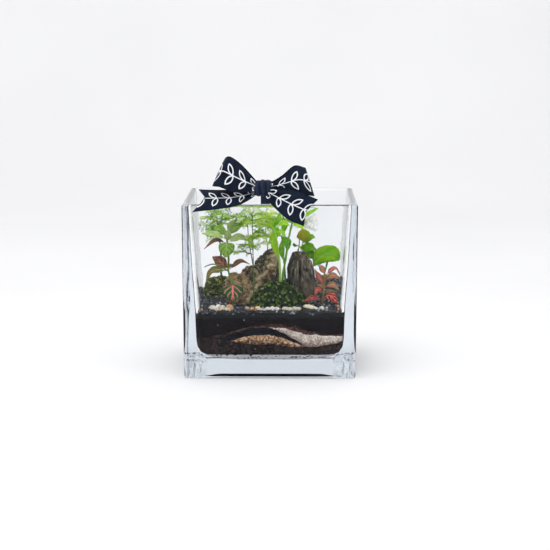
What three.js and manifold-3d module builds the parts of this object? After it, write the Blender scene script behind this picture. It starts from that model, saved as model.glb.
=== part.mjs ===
// A glass cube vase planted as a small terrarium, with a ribbon bow on its front rim.
// Units are millimetres. The origin is the centre of the underside. +X is right, +Y is back and +Z is up.
import * as THREE from "three";
import { mergeVertices } from "three/addons/utils/BufferGeometryUtils.js";
import Module from "manifold-3d";

const wasm = await Module();
wasm.setup();

// ---------------------------------------------------------------- driving dimensions

const HEIGHT = 150;
const GAP = 0.3; // between pieces that touch
const WIDE_GAP = 0.4; // where both pieces are curved
const CORNER_STEPS = 5; // segments in each rounded corner of the vessel

// Rings of the vessel as [half width, corner radius, height], each list from the bottom upwards
const OUTER_RINGS = [
  [72, 2.2, 0],
  [73.4, 2.8, 0.5],
  [73.8, 3, 1.8],
  [75, 3, HEIGHT - 2.2],
  [74.4, 2.8, HEIGHT - 0.6],
  [73, 2.5, HEIGHT],
];
const INNER_RINGS = [
  [24, 20, 12.4],
  [42, 24, 12.9],
  [51, 24, 14.4],
  [57.6, 17, 17.8],
  [61.4, 12.5, 22.6],
  [63.6, 9.5, 30],
  [64.6, 6.4, 57],
  [67.4, 5, 104],
  [69.6, 4, HEIGHT - 2.4],
  [70.2, 3.8, HEIGHT - 0.8],
  [71.4, 3.4, HEIGHT],
];
const FLOOR_CENTRE = 12.3;
const PUSH_UP = 0.5; // how far the middle of the underside is raised
const FILL_RINGS = 8; // how many of the inner rings, from the floor, the filling reaches

// Heights of the filling along X, as [x, z]. Each layer lies between its own line and the one below.
const FILL_HALF = 66; // just past the inner wall
const FILL_STEP = 4.4;
const SOIL_LINE = [
  [-66, 34.6],
  [-48, 34.2],
  [-33, 31.3],
  [-13, 28.2],
  [0, 29.2],
  [9.5, 27.7],
  [21, 26],
  [33.6, 26.6],
  [42.7, 27.1],
  [52, 28.4],
  [66, 32],
];
const TAN_LINE = [
  [-33, 31.3],
  [-23, 35.3],
  [-8, 36.8],
  [0, 36.6],
  [9.5, 34.5],
  [21.6, 30.2],
  [30, 27.6],
  [38, 26.6],
];
const NAVY_LINE = [
  [-48, 34.2],
  [-33, 37.2],
  [-20.6, 41.2],
  [-8, 43.4],
  [0, 43.4],
  [6.5, 40.6],
  [21.6, 33.2],
  [30, 27.6],
];
const CREAM_LINE = [
  [3, 42.4],
  [8, 43.4],
  [15.6, 42.4],
  [27.6, 38.4],
  [42.7, 36.4],
  [57.9, 35.9],
  [66, 35.9],
];
const RUST_LINE = [
  [-54, 34.4],
  [-47.7, 36.3],
  [-33, 39.4],
  [-23, 42.9],
  [-8, 45.9],
  [0, 46.4],
  [9.5, 45.9],
  [25.3, 42.6],
  [39.7, 39.4],
  [57.9, 37.6],
  [66, 37.2],
];

// The ground: level along the front wall, rising towards the back right corner
const GROUND_FRONT = 56.5;
const GROUND_BACK_RISE = 3.75;
const GROUND_TWIST = 5.75;
const GRAVEL_DEPTH = 5;
const GRAVEL_GRAIN = 1.5; // how far the tallest grains stand up
const GRAVEL_CELLS = 20;
const FILL_BASE = 10; // below the lowest filling, for the blocks that are cut by the cavity

const LEAF_THICKNESS = 0.6;
const RIBBON_THICKNESS = 0.8;
const ROOT_HEIGHT = 47; // how deep the stems reach

// Fern twigs and their needles
const TWIG_RADIUS = 0.45;
const TWIG_TURN = 0.5; // radians that a twig's section turns from one band to the next
const NEEDLE_STEP = 1.8;
const NEEDLE_LENGTH = 4.4;
const NEEDLE_LEAN = 0.8;

// ---------------------------------------------------------------- helpers

const v = (x, y, z) => new THREE.Vector3(x, y, z);

// Seeded random numbers from 0 to 1, so that the part comes out alike every time
function seeded(seed) {
  let state = seed;
  return () => {
    state = (state + 0x6d2b79f5) | 0;
    let t = Math.imul(state ^ (state >>> 15), 1 | state);
    t = (t + Math.imul(t ^ (t >>> 7), 61 | t)) ^ t;
    return ((t ^ (t >>> 14)) >>> 0) / 4294967296;
  };
}

function solidOf(geometry) {
  const bare = geometry.clone();
  bare.deleteAttribute("normal");
  bare.deleteAttribute("uv");
  const merged = mergeVertices(bare, 1e-4);
  const vertProperties = new Float32Array(merged.attributes.position.array);
  const triVerts = new Uint32Array(merged.index.array);
  return new wasm.Manifold(new wasm.Mesh({ numProp: 3, vertProperties, triVerts }));
}

function geometryOf(solid) {
  const mesh = solid.getMesh();
  const geometry = new THREE.BufferGeometry();
  geometry.setAttribute("position", new THREE.BufferAttribute(mesh.vertProperties, 3));
  geometry.setIndex(new THREE.BufferAttribute(mesh.triVerts, 1));
  geometry.computeVertexNormals();
  return geometry;
}

function fuse(solids) {
  return solids.reduce((whole, solid) => whole.add(solid));
}

function cutAll(solid, tools) {
  return tools.reduce((rest, tool) => rest.subtract(tool), solid);
}

// A closed solid over rings of points that turn anticlockwise about the way they follow each other.
// The quads of the sides in turned are split along the other diagonal.
// A cap meets in its middle point, or else in corner hub.
function loft(rings, { startMiddle, endMiddle, turned = [], hub = 0 } = {}) {
  const count = rings[0].length;
  const points = rings.flat();
  const faces = [];
  for (let ring = 0; ring + 1 < rings.length; ring += 1) {
    for (let side = 0; side < count; side += 1) {
      const a = ring * count + side;
      const b = ring * count + ((side + 1) % count);
      const c = b + count;
      const d = a + count;
      faces.push(...(turned.includes(side) ? [a, b, d, b, c, d] : [a, b, c, a, c, d]));
    }
  }
  const cap = (first, middle, facing) => {
    const corner = (k) => first + ((hub + k) % count);
    const meet = middle ? points.push(middle) - 1 : corner(0);
    for (let k = middle ? 0 : 1; k < (middle ? count : count - 1); k += 1) {
      faces.push(meet, ...(facing > 0 ? [corner(k), corner(k + 1)] : [corner(k + 1), corner(k)]));
    }
  };
  cap(0, startMiddle, -1);
  cap((rings.length - 1) * count, endMiddle, 1);
  const geometry = new THREE.BufferGeometry().setFromPoints(points);
  geometry.setIndex(faces);
  return solidOf(geometry);
}

// A ring of the rounded square, turning anticlockwise as seen from above
function squareRing([half, radius, z]) {
  const ring = [];
  for (let corner = 0; corner < 4; corner += 1) {
    const turn = (corner * Math.PI) / 2;
    const middle = v(half - radius, half - radius, z).applyAxisAngle(v(0, 0, 1), turn);
    for (let step = 0; step <= CORNER_STEPS; step += 1) {
      const angle = turn + ((step / CORNER_STEPS) * Math.PI) / 2;
      ring.push(v(middle.x + radius * Math.cos(angle), middle.y + radius * Math.sin(angle), z));
    }
  }
  return ring;
}

// A tapering round stem through the given points, which keeps to their curve
function stem(points, radii, { sides = 5, steps = 6 } = {}) {
  const curve = new THREE.CatmullRomCurve3(points);
  const frames = curve.computeFrenetFrames(steps, false);
  const rings = frames.tangents.map((_, i) => {
    const middle = curve.getPointAt(i / steps);
    const radius = THREE.MathUtils.lerp(radii[0], radii[1], i / steps);
    return Array.from({ length: sides }, (_, side) => {
      const angle = (side / sides) * 2 * Math.PI;
      return middle
        .clone()
        .addScaledVector(frames.normals[i], radius * Math.cos(angle))
        .addScaledVector(frames.binormals[i], radius * Math.sin(angle));
    });
  });
  return loft(rings);
}

const OVATE = [0, 0.55, 0.95, 0.86, 0.45, 0.06]; // half widths of a leaf from its stalk to its tip
const LANCE = [0, 0.6, 1, 0.9, 0.5, 0.05];
const ROUND = [0, 0.78, 1, 0.97, 0.66, 0.1];

// A leaf of even thickness along a curve through the given points, whose upper face looks towards facing.
// The fold lifts its edges. The blade widens after the stalk, which is a share of the length.
function leaf(points, facing, width, { outline = OVATE, fold = 0.15, stalk = 0.12 } = {}) {
  const curve = new THREE.CatmullRomCurve3(points);
  const last = outline.length - 1;
  const rings = outline.map((share, i) => {
    const t = i === 0 ? 0 : stalk + ((1 - stalk) * (i - 1 + 0.35)) / (last - 1 + 0.35);
    const middle = curve.getPointAt(t);
    const along = curve.getTangentAt(t);
    const across = facing.clone().cross(along).normalize();
    const up = along.clone().cross(across);
    const half = Math.max(share * (width / 2), 0.5);
    const rim = (side, face) =>
      middle
        .clone()
        .addScaledVector(across, side * half)
        .addScaledVector(up, Math.abs(side) * half * fold + (face * LEAF_THICKNESS) / 2);
    return [rim(1, 1), rim(0, 1), rim(-1, 1), rim(-1, -1), rim(0, -1), rim(1, -1)];
  });
  return loft(rings, { turned: [3, 4], hub: 1 });
}

// A leaf from a row of [stalk, middle, tip, the way its upper face looks, width, outline]
function leafOf([from, middle, tip, facing, width, outline], options) {
  return leaf([v(...from), v(...middle), v(...tip)], v(...facing), width, { outline, ...options });
}

// A three-sided twig along the given points, with needles drawn out of two of its three sides in each band
function needledTwig(points, random) {
  const curve = new THREE.CatmullRomCurve3(points);
  const bands = Math.round(curve.getLength() / NEEDLE_STEP);
  const frames = curve.computeFrenetFrames(bands, false);
  const middles = frames.tangents.map((_, i) => curve.getPointAt(i / bands));
  const corners = middles.flatMap((middle, i) =>
    [0, 1, 2].map((corner) => {
      const angle = (corner * 2 * Math.PI) / 3 + i * TWIG_TURN;
      const radius = TWIG_RADIUS * (1 - (0.35 * i) / bands);
      return middle
        .clone()
        .addScaledVector(frames.normals[i], radius * Math.cos(angle))
        .addScaledVector(frames.binormals[i], radius * Math.sin(angle));
    }),
  );
  const faces = [0, 2, 1];
  for (let band = 0; band < bands; band += 1) {
    for (let side = 0; side < 3; side += 1) {
      const a = band * 3 + side;
      const b = band * 3 + ((side + 1) % 3);
      const [c, d] = [b + 3, a + 3];
      faces.push(a, c, d);
      if (band === 0 || side === band % 3) {
        faces.push(a, b, c);
        continue;
      }
      const foot = corners[a].clone().add(corners[b]).add(corners[c]).divideScalar(3);
      const axis = middles[band].clone().lerp(middles[band + 1], 0.4);
      const direction = foot.clone().sub(axis).normalize();
      direction.addScaledVector(frames.tangents[band], NEEDLE_LEAN).normalize();
      const length = NEEDLE_LENGTH * (1 - (0.35 * band) / bands) * (0.8 + 0.35 * random());
      const tip = corners.push(foot.addScaledVector(direction, length)) - 1;
      faces.push(a, b, tip, b, c, tip, c, a, tip);
    }
  }
  const end = bands * 3;
  const endTip = middles[bands].clone().addScaledVector(frames.tangents[bands], NEEDLE_LENGTH / 2);
  const tip = corners.push(endTip) - 1;
  faces.push(end, end + 1, tip, end + 1, end + 2, tip, end + 2, end, tip);
  const geometry = new THREE.BufferGeometry().setFromPoints(corners);
  geometry.setIndex(faces);
  return solidOf(geometry);
}

const group = new THREE.Group();

function addPart(name, solid, color, roughness, metalness = 0) {
  const material = new THREE.MeshStandardMaterial({ color, roughness, metalness });
  const mesh = new THREE.Mesh(geometryOf(solid), material);
  mesh.name = name;
  group.add(mesh);
  return mesh;
}

// ---------------------------------------------------------------- glass vessel

const vesselRings = [...OUTER_RINGS, ...INNER_RINGS.toReversed()].map(squareRing);
const vessel = loft(vesselRings, { startMiddle: v(0, 0, PUSH_UP), endMiddle: v(0, 0, FLOOR_CENTRE) });

// The space inside, clear of the glass by the gap
const cavityRings = INNER_RINGS.slice(0, FILL_RINGS).map(([half, radius, z]) =>
  squareRing([half - GAP, radius - GAP, z + GAP]),
);
const cavity = loft(cavityRings, { startMiddle: v(0, 0, FLOOR_CENTRE + GAP) });

// ---------------------------------------------------------------- filling

function lineHeight(points) {
  const curve = new THREE.SplineCurve(points.map(([x, z]) => new THREE.Vector2(x, z)));
  const samples = curve.getPoints(12 * points.length);
  return (x) => {
    const next = samples.findIndex((point) => point.x >= x);
    if (next < 0 || x < samples[0].x) return -Infinity;
    if (next === 0) return samples[0].y;
    const [a, b] = [samples[next - 1], samples[next]];
    return THREE.MathUtils.mapLinear(x, a.x, b.x, a.y, b.y);
  };
}

const STATIONS = Math.round((2 * FILL_HALF) / FILL_STEP);
const stationX = (i) => -FILL_HALF + i * FILL_STEP;

// The height of each line at each station, where a line that has ended follows the one below
const fillHeights = [SOIL_LINE, TAN_LINE, NAVY_LINE, CREAM_LINE, RUST_LINE].map(lineHeight);
const levels = [];
for (const height of fillHeights) {
  const below = levels.at(-1);
  const level = Array.from({ length: STATIONS + 1 }, (_, i) => height(stationX(i)));
  levels.push(below ? level.map((z, i) => Math.max(z, below[i])) : level);
}

// A prism along Y over an outline of [x, z]
function prism(outline) {
  const shape = new THREE.Shape(outline.map(([x, z]) => new THREE.Vector2(x, z)));
  const geometry = new THREE.ExtrudeGeometry(shape, { depth: 2 * FILL_HALF, bevelEnabled: false });
  geometry.rotateX(Math.PI / 2);
  geometry.translate(0, FILL_HALF, 0);
  return solidOf(geometry);
}

function underLevel(level, offset) {
  const top = level.map((z, i) => [stationX(i), z + offset]);
  return prism([[-FILL_HALF, 0], [FILL_HALF, 0], ...top.toReversed()]);
}

const THINNEST_FILL = 0.8;

// The layer between two levels, which runs out to a thin edge where they meet
function layerBetween(lower, upper) {
  const thick = upper.map((z, i) => z - lower[i] > THINNEST_FILL);
  const first = thick.indexOf(true);
  const last = thick.lastIndexOf(true);
  const floor = [];
  const top = [];
  for (let i = first; i <= last; i += 1) {
    floor.push([stationX(i), lower[i] + GAP / 2]);
    top.push([stationX(i), upper[i] - GAP / 2]);
  }
  if (first > 0) floor.unshift([stationX(first - 1), (lower[first - 1] + upper[first - 1]) / 2]);
  if (last < STATIONS) floor.push([stationX(last + 1), (lower[last + 1] + upper[last + 1]) / 2]);
  return prism([...floor, ...top.toReversed()]).intersect(cavity);
}

const [soilLevel, tanLevel, navyLevel, creamLevel, rustLevel] = levels;
const lowerSoil = underLevel(soilLevel, -GAP / 2).intersect(cavity);
const tanSand = layerBetween(soilLevel, tanLevel);
const navySand = layerBetween(tanLevel, navyLevel);
const creamSand = layerBetween(navyLevel, creamLevel);
const rustSand = layerBetween(creamLevel, rustLevel);

function ground(x, y) {
  const back = (y + FILL_HALF) / (2 * FILL_HALF);
  return GROUND_FRONT + back * (GROUND_BACK_RISE + (GROUND_TWIST * x) / FILL_HALF);
}

// A block whose top follows a height
function heap(height, cells) {
  const geometry = new THREE.BoxGeometry(2 * FILL_HALF, 2 * FILL_HALF, 2, cells, cells, 1);
  const points = geometry.attributes.position;
  for (let i = 0; i < points.count; i += 1) {
    const [x, y] = [points.getX(i), points.getY(i)];
    points.setZ(i, points.getZ(i) > 0 ? height(x, y) : FILL_BASE);
  }
  return solidOf(geometry);
}

const soilTop = (offset) => heap((x, y) => ground(x, y) - GRAVEL_DEPTH + offset, 3);
const upperSoilWhole = soilTop(0).intersect(cavity).subtract(underLevel(rustLevel, GAP / 2));

// ---------------------------------------------------------------- pebbles

// Each cluster holds pebbles of one colour, as [x, y, half length, half width, half height, turn]
const PEBBLE_CLUSTERS = {
  pebbles_white_left: {
    color: 0xe4ddd0,
    stones: [
      [-50.2, -50, 3, 2.4, 2.2, 0.3],
      [-45.2, -49.2, 3, 2.6, 2.6, 1.1],
      [-47.6, -53, 2.6, 2.1, 1.9, 0.6],
      [-41.4, -48.2, 2.6, 2.3, 2.1, 0.2],
    ],
  },
  pebble_peach_left: { color: 0xd8a983, stones: [[-35.2, -51.6, 3.5, 2.7, 2.5, -0.2]] },
  pebbles_cream_left: {
    color: 0xcfc3a2,
    stones: [
      [-41.2, -55.2, 2.8, 2, 1.7, 0.4],
      [-36.9, -56, 2.3, 1.8, 1.5, -0.3],
    ],
  },
  pebble_grey_centre: { color: 0xb9b3a3, stones: [[-19.8, -54, 2.4, 2, 1.8, 0.1]] },
  pebble_orange_centre: { color: 0xd98b4b, stones: [[-15.4, -54.6, 1.8, 1.6, 1.5, 0]] },
  pebble_ivory_centre: { color: 0xe9dcc2, stones: [[-10.4, -54.2, 2.9, 2.1, 2, 0.5]] },
  pebbles_white_right: {
    color: 0xdedace,
    stones: [
      [-1.6, -54.8, 2.4, 1.8, 1.6, 0.2],
      [2.4, -54.2, 2.3, 1.8, 1.7, -0.4],
      [5.9, -54.8, 2.2, 1.7, 1.5, 0.5],
    ],
  },
  pebbles_cream_right: {
    color: 0xd6cdb2,
    stones: [
      [12.6, -54.2, 2.6, 1.9, 1.4, 0.1],
      [16.9, -54.8, 2.5, 1.8, 1.3, 0.4],
      [21.2, -54.2, 2.6, 2, 1.5, -0.2],
      [25, -54.8, 2.2, 1.7, 1.4, 0.3],
    ],
  },
  stone_flat_cream: { color: 0xb7a983, stones: [[35.2, -51.4, 6.9, 3.4, 1.9, 0.06]] },
  pebble_white_right: { color: 0xe2e0da, stones: [[44.6, -54, 2.2, 1.8, 1.7, 0.3]] },
  pebble_white_back: { color: 0xe9e6df, stones: [[52.4, -17, 2.5, 2, 1.9, 0.8]] },
  grain_orange_left: { color: 0xc8713a, stones: [[-59.4, -56, 1.4, 1.2, 1.2, 0]] },
  grain_rust_left: { color: 0xa8663c, stones: [[-44.5, -59.6, 1.6, 1.2, 1.1, 0.4]] },
  grain_orange_right: { color: 0xd08b3a, stones: [[59.2, -47, 1.3, 1.1, 1.1, 0.2]] },
  grain_amber_right: { color: 0xcf8d45, stones: [[59.4, -56, 1.3, 1.1, 1.1, 0.5]] },
};
const PEBBLE_CLEARING = 5; // the gravel is level this far round each pebble's own size
const PEBBLE_SHOWS = 0.78; // how much of a pebble's height stands above the ground
const PEBBLE_LEVELS = [
  [0, 0.8],
  [0.42, 1],
  [0.84, 0.66],
]; // [share of the height, share of the width]

const nearPebble = (x, y) =>
  Object.values(PEBBLE_CLUSTERS).some(({ stones }) =>
    stones.some(([px, py, length]) => Math.hypot(x - px, y - py) < length + PEBBLE_CLEARING),
  );

// An uneven share from 0 to 1 for each place on the ground
function grainAt(x, y) {
  const wave = Math.sin(Math.round(x * 10) * 12.9898 + Math.round(y * 10) * 78.233) * 43758.5453;
  return wave - Math.floor(wave);
}

const gravelTop = (x, y) => ground(x, y) + (nearPebble(x, y) ? 0 : (grainAt(x, y) - 0.35) * GRAVEL_GRAIN);
const gravelWhole = heap(gravelTop, GRAVEL_CELLS).intersect(cavity).subtract(soilTop(GAP));

// A pebble that lies flat on the ground
function pebble([x, y, length, width, height, turn], random) {
  const sides = length > 4 ? 9 : 6;
  const rings = PEBBLE_LEVELS.map(([rise, share]) =>
    Array.from({ length: sides }, (_, side) => {
      const angle = (side / sides) * 2 * Math.PI;
      const size = share * (0.92 + 0.16 * random());
      const place = v(length * size * Math.cos(angle), width * size * Math.sin(angle), 0);
      place.applyAxisAngle(v(0, 0, 1), turn).add(v(x, y, 0));
      return place.setZ(ground(place.x, place.y) + GAP + 2 * height * rise * PEBBLE_SHOWS);
    }),
  );
  return loft(rings, { endMiddle: v(x, y, ground(x, y) + GAP + 2 * height * PEBBLE_SHOWS) });
}

const pebbleShape = seeded(23);
for (const [name, { color, stones }] of Object.entries(PEBBLE_CLUSTERS)) {
  addPart(name, fuse(stones.map((stone) => pebble(stone, pebbleShape))), color, 0.6);
}

// ---------------------------------------------------------------- stones and moss

// A lump over rings of [z, x, y, half width, half depth], roughened by seeded steps.
// Spread widens it all round.
function lump(rings, { seed, rough, sides = 12, spread = 0, grooves = 0 }) {
  const random = seeded(seed);
  const grain = Array.from({ length: sides }, () => (random() - 0.5) * grooves);
  const skin = rings.map(([z, x, y, halfWidth, halfDepth], level) =>
    Array.from({ length: sides }, (_, side) => {
      const angle = (side / sides) * 2 * Math.PI;
      const size = 1 + grain[side] + (random() - 0.5) * rough;
      const end = level === rings.length - 1 ? spread : 0;
      return v(
        x + Math.cos(angle) * (halfWidth * size + spread),
        y + Math.sin(angle) * (halfDepth * size + spread),
        z + (random() - 0.5) * rough * 6 + end,
      );
    }),
  );
  const [topZ, topX, topY] = rings.at(-1);
  const [lowZ, lowX, lowY] = rings[0];
  const crown = 0.8 + spread;
  return loft(skin, { startMiddle: v(lowX, lowY, lowZ - 1), endMiddle: v(topX, topY, topZ + crown) });
}

const BROWN_MAIN = [
  [48, -8, 2, 19, 15],
  [60, -7.5, 2, 17.5, 14],
  [72, -6.5, 2.5, 15, 12.5],
  [84, -4.5, 3, 12.2, 10],
  [94, -1.2, 4.5, 8.4, 7],
  [100, 1, 5, 4.2, 3.4],
];
const BROWN_LOBE = [
  [48, -20, -15.6, 17.5, 16.8],
  [60, -21.5, -15.8, 17.2, 15.4],
  [70, -25.5, -16, 13.4, 11.8],
  [77, -28.8, -15.5, 10, 8.4],
  [81.4, -30.6, -15, 6.6, 4.6],
];
const BROWN_SADDLE = [
  [60, -15, -6, 14, 13],
  [72, -16, -6, 11.5, 10],
  [80, -17.5, -6, 8.6, 7],
  [86.4, -17, -5, 4.6, 4],
];
const BROWN_CREST = [
  [68, -3.6, -9, 3.6, 4.4],
  [78, 0, -8, 4.2, 3.8],
  [88, 3.2, -5, 3.8, 3.2],
  [95.6, 4, -1.6, 2.6, 2.4],
];
const SLATE = [
  [48, 27, -3, 15, 12.5],
  [60, 27.8, -3, 14.6, 12],
  [72, 28, -2.5, 13.6, 11],
  [83, 27.3, -1.5, 11.6, 9.4],
  [92, 26.2, -0.5, 9, 7.2],
  [98, 25.6, 0.5, 5.6, 4.8],
];
const SLATE_CLEFT = [
  [65, 24.6, -15.8, 1.6, 4],
  [70, 24.6, -15, 2.8, 5],
  [76, 25, -13.8, 2.4, 5],
  [83, 25.8, -12.2, 1.4, 4],
  [90, 26.6, -10, 0.8, 3],
];
const MOSS_MOUND = [
  [48, 5.5, -28, 25, 18.5],
  [58, 5.5, -28, 24.6, 18],
  [63.5, 6.5, -27, 21, 15.5],
  [69.5, 5.5, -24.5, 14.6, 11],
  [74.6, 4.4, -21, 8, 6],
];
const MOSS_FOOT = [
  [48, 24, -31, 8, 8],
  [60, 24, -31, 7.8, 7.6],
  [64.4, 24.5, -30.4, 5.4, 5],
  [66.6, 25, -30, 2.8, 2.6],
];
const MOSS_CUSHION = [
  [48, -48, 22, 13.4, 16],
  [59, -48, 22, 13.2, 15.5],
  [65, -47.8, 22, 12, 13.6],
  [69.2, -47, 22, 9.4, 10.4],
  [71.2, -46, 22, 5.6, 6.4],
];

const brownShape = { seed: 7, rough: 0.2, sides: 14 };
const crestShape = { seed: 12, rough: 0.24, sides: 7 };
const slateShape = { seed: 8, rough: 0.05, grooves: 0.16 };
const mossShape = { seed: 17, rough: 0.1, sides: 14 };
const cushionShape = { seed: 29, rough: 0.1, sides: 12 };

const brownLump = (spread) =>
  fuse([
    lump(BROWN_MAIN, { ...brownShape, spread }),
    lump(BROWN_LOBE, { ...brownShape, seed: 6, spread }),
    lump(BROWN_SADDLE, { ...crestShape, seed: 9, spread }),
    lump(BROWN_CREST, { ...crestShape, spread }),
  ]);
const slateLump = (spread) => lump(SLATE, { ...slateShape, spread });
const cleft = lump(SLATE_CLEFT, { seed: 3, rough: 0.1, sides: 6 });
const soilBelow = soilTop(GAP);

const brownStone = brownLump(0).subtract(soilBelow);
const slateStone = slateLump(0).subtract(cleft).subtract(soilBelow);
const mossLump = (spread) =>
  lump(MOSS_MOUND, { ...mossShape, spread }).add(lump(MOSS_FOOT, { ...mossShape, sides: 8, spread }));
const mossWhole = cutAll(mossLump(0), [brownLump(WIDE_GAP), slateLump(WIDE_GAP), soilBelow]);
const cushionWhole = lump(MOSS_CUSHION, cushionShape).subtract(soilBelow).subtract(brownLump(WIDE_GAP));
const settled = [
  brownLump(GAP),
  slateLump(GAP),
  mossLump(GAP),
  lump(MOSS_CUSHION, { ...cushionShape, spread: GAP }),
];

// ---------------------------------------------------------------- plants

const holes = []; // the room that each rooted stem takes in the soil, gravel and moss

// A stem that stands in the soil: it goes straight down from its first point to the root height
function rootedStem(points, radii, options) {
  const foot = points[0].clone().setZ(ROOT_HEIGHT);
  const below = points[0].clone().lerp(foot, 0.5);
  const wide = radii[0] * 1.15 + WIDE_GAP;
  holes.push(stem([foot.clone().setZ(ROOT_HEIGHT - GAP), below, ...points], [wide, wide], options));
  return stem([foot, below, ...points], radii, options);
}

const GREEN = 0x5f8f2c;
const PALE_GREEN = 0x93a85a;
const PINK = 0xb5564c;

// Left nerve plant: a green leafy stem, with its leaves in pairs, and reddish ones low down
const leftStem = rootedStem(
  [
    v(-32.4, -41.5, 60),
    v(-32.8, -41.5, 75),
    v(-36.4, -38, 88.1),
    v(-36.2, -36, 100),
    v(-37.7, -34, 114.8),
    v(-38.4, -31, 122),
  ],
  [1.2, 0.8],
  { steps: 8 },
);
const leftBranch = stem(
  [v(-36.2, -38, 87.6), v(-44.7, -38.5, 92.5), v(-50.7, -38.5, 93.8), v(-57.5, -38, 91)],
  [0.9, 0.6],
);
const LEFT_LEAVES = [
  [[-38, -34, 115], [-49, -35, 119.5], [-59.5, -34, 120], [0, -0.6, 1], 9],
  [[-38, -32, 117.5], [-44.5, -29, 123], [-50.2, -25, 124.6], [0.2, -0.9, 0.6], 9],
  [[-37.6, -34, 113], [-36.8, -38, 119], [-36, -38, 125], [0, -1, 0], 6.5],
  [[-37.6, -34, 112], [-27, -35, 117], [-18.6, -35, 114], [0, -0.6, 1], 9.5],
  [[-38, -32, 118], [-30, -29, 125], [-22.5, -27, 128], [0.2, -0.8, 0.8], 8.5],
  [[-38.2, -31.4, 120.5], [-33, -29, 128], [-28.5, -27, 131.5], [0.5, -0.8, 0.3], 7],
  [[-37.7, -34.5, 113], [-37.8, -41, 110], [-38.5, -44, 100.5], [0, -1, 0.5], 14, ROUND],
  [[-37.6, -34, 111.5], [-48, -31, 113.6], [-58, -30, 105.5], [-0.3, -0.5, 1], 6],
  [[-37.6, -33.5, 112.5], [-35, -24, 116], [-33.5, -17, 113], [0, 0.4, 1], 9.5],
  [[-38, -31.5, 118], [-42, -23, 121.5], [-45, -17, 119], [0, 0.5, 1], 8.5],
  [[-38, -38, 88.6], [-43, -35.5, 95], [-50.6, -34, 99.6], [0, -1, 0.5], 10.5],
  [[-36.2, -38, 88.5], [-26, -36, 96], [-18, -32, 92.6], [0.2, -0.4, 1], 7],
  [[-36.6, -38.4, 88], [-50.5, -41, 88.4], [-56.2, -42, 76.6], [-0.8, -0.6, 0.5], 8.5],
  [[-36.2, -37.6, 87.6], [-38, -27, 92], [-41, -20, 87.5], [0, 0.3, 1], 8.5],
  [[-32.8, -42, 76], [-32.4, -48.5, 75.2], [-32.2, -53, 64], [0, -1, 0.4], 18, ROUND],
  [[-32.4, -41.6, 67], [-33.4, -46.4, 66.4], [-35.4, -48, 60.8], [0.3, -1, 0.5], 9],
  [[-32.4, -41.6, 68], [-27.5, -46, 68.8], [-24.4, -49, 64], [0.6, -0.7, 0.7], 7.5],
];
const leftPlant = fuse([leftStem, leftBranch, ...LEFT_LEAVES.map((row) => leafOf(row))]);

// Right nerve plant: pink leaves in pairs up a short stem
const rightStem = rootedStem(
  [v(45.6, -34, 61.5), v(46.6, -33.4, 68), v(47.4, -31.6, 77), v(48.2, -30, 84)],
  [1.1, 0.7],
  { steps: 6 },
);
const RIGHT_LEAVES = [
  [[45.8, -34, 62.5], [37, -42, 64.6], [29, -46.5, 62.2], [0, -0.6, 1], 8.5],
  [[46, -34, 64], [52, -41, 66.5], [58.6, -45, 60.6], [0.3, -0.8, 0.8], 12, ROUND],
  [[46.4, -33.6, 67], [52.5, -29, 69], [58.5, -24, 66.4], [0, -0.5, 1], 7],
  [[46.6, -33.2, 69], [42, -37, 71.5], [38.6, -40, 66.5], [-0.3, -0.9, 0.6], 7.5],
  [[47, -32.6, 72.5], [54.5, -34, 75], [61, -34.5, 70], [0.1, -0.9, 0.6], 8],
  [[47, -32.6, 73.5], [43, -32.5, 81], [38.6, -32, 88.5], [0, -1, 0.1], 7.5],
  [[47.6, -31.4, 78], [54.5, -31.5, 82.6], [61, -31.5, 79.5], [0, -0.9, 0.6], 8.5],
  [[47.4, -31.6, 77.5], [47.6, -24, 81.5], [48, -17.6, 77.5], [0, 0.4, 1], 8],
  [[46.8, -33, 71], [43, -26.4, 73.5], [42.6, -19.6, 71.2], [0, 0.4, 1], 6.5],
  [[48, -30.4, 82.5], [56.6, -27.5, 88.6], [62.4, -26.5, 81.6], [0.2, -0.4, 1], 5.5],
  [[48, -30.2, 83], [44.6, -27, 89], [42, -24, 90.5], [-0.2, -0.6, 1], 5.5],
];
const rightPlant = fuse([rightStem, ...RIGHT_LEAVES.map((row) => leafOf(row))]);

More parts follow.
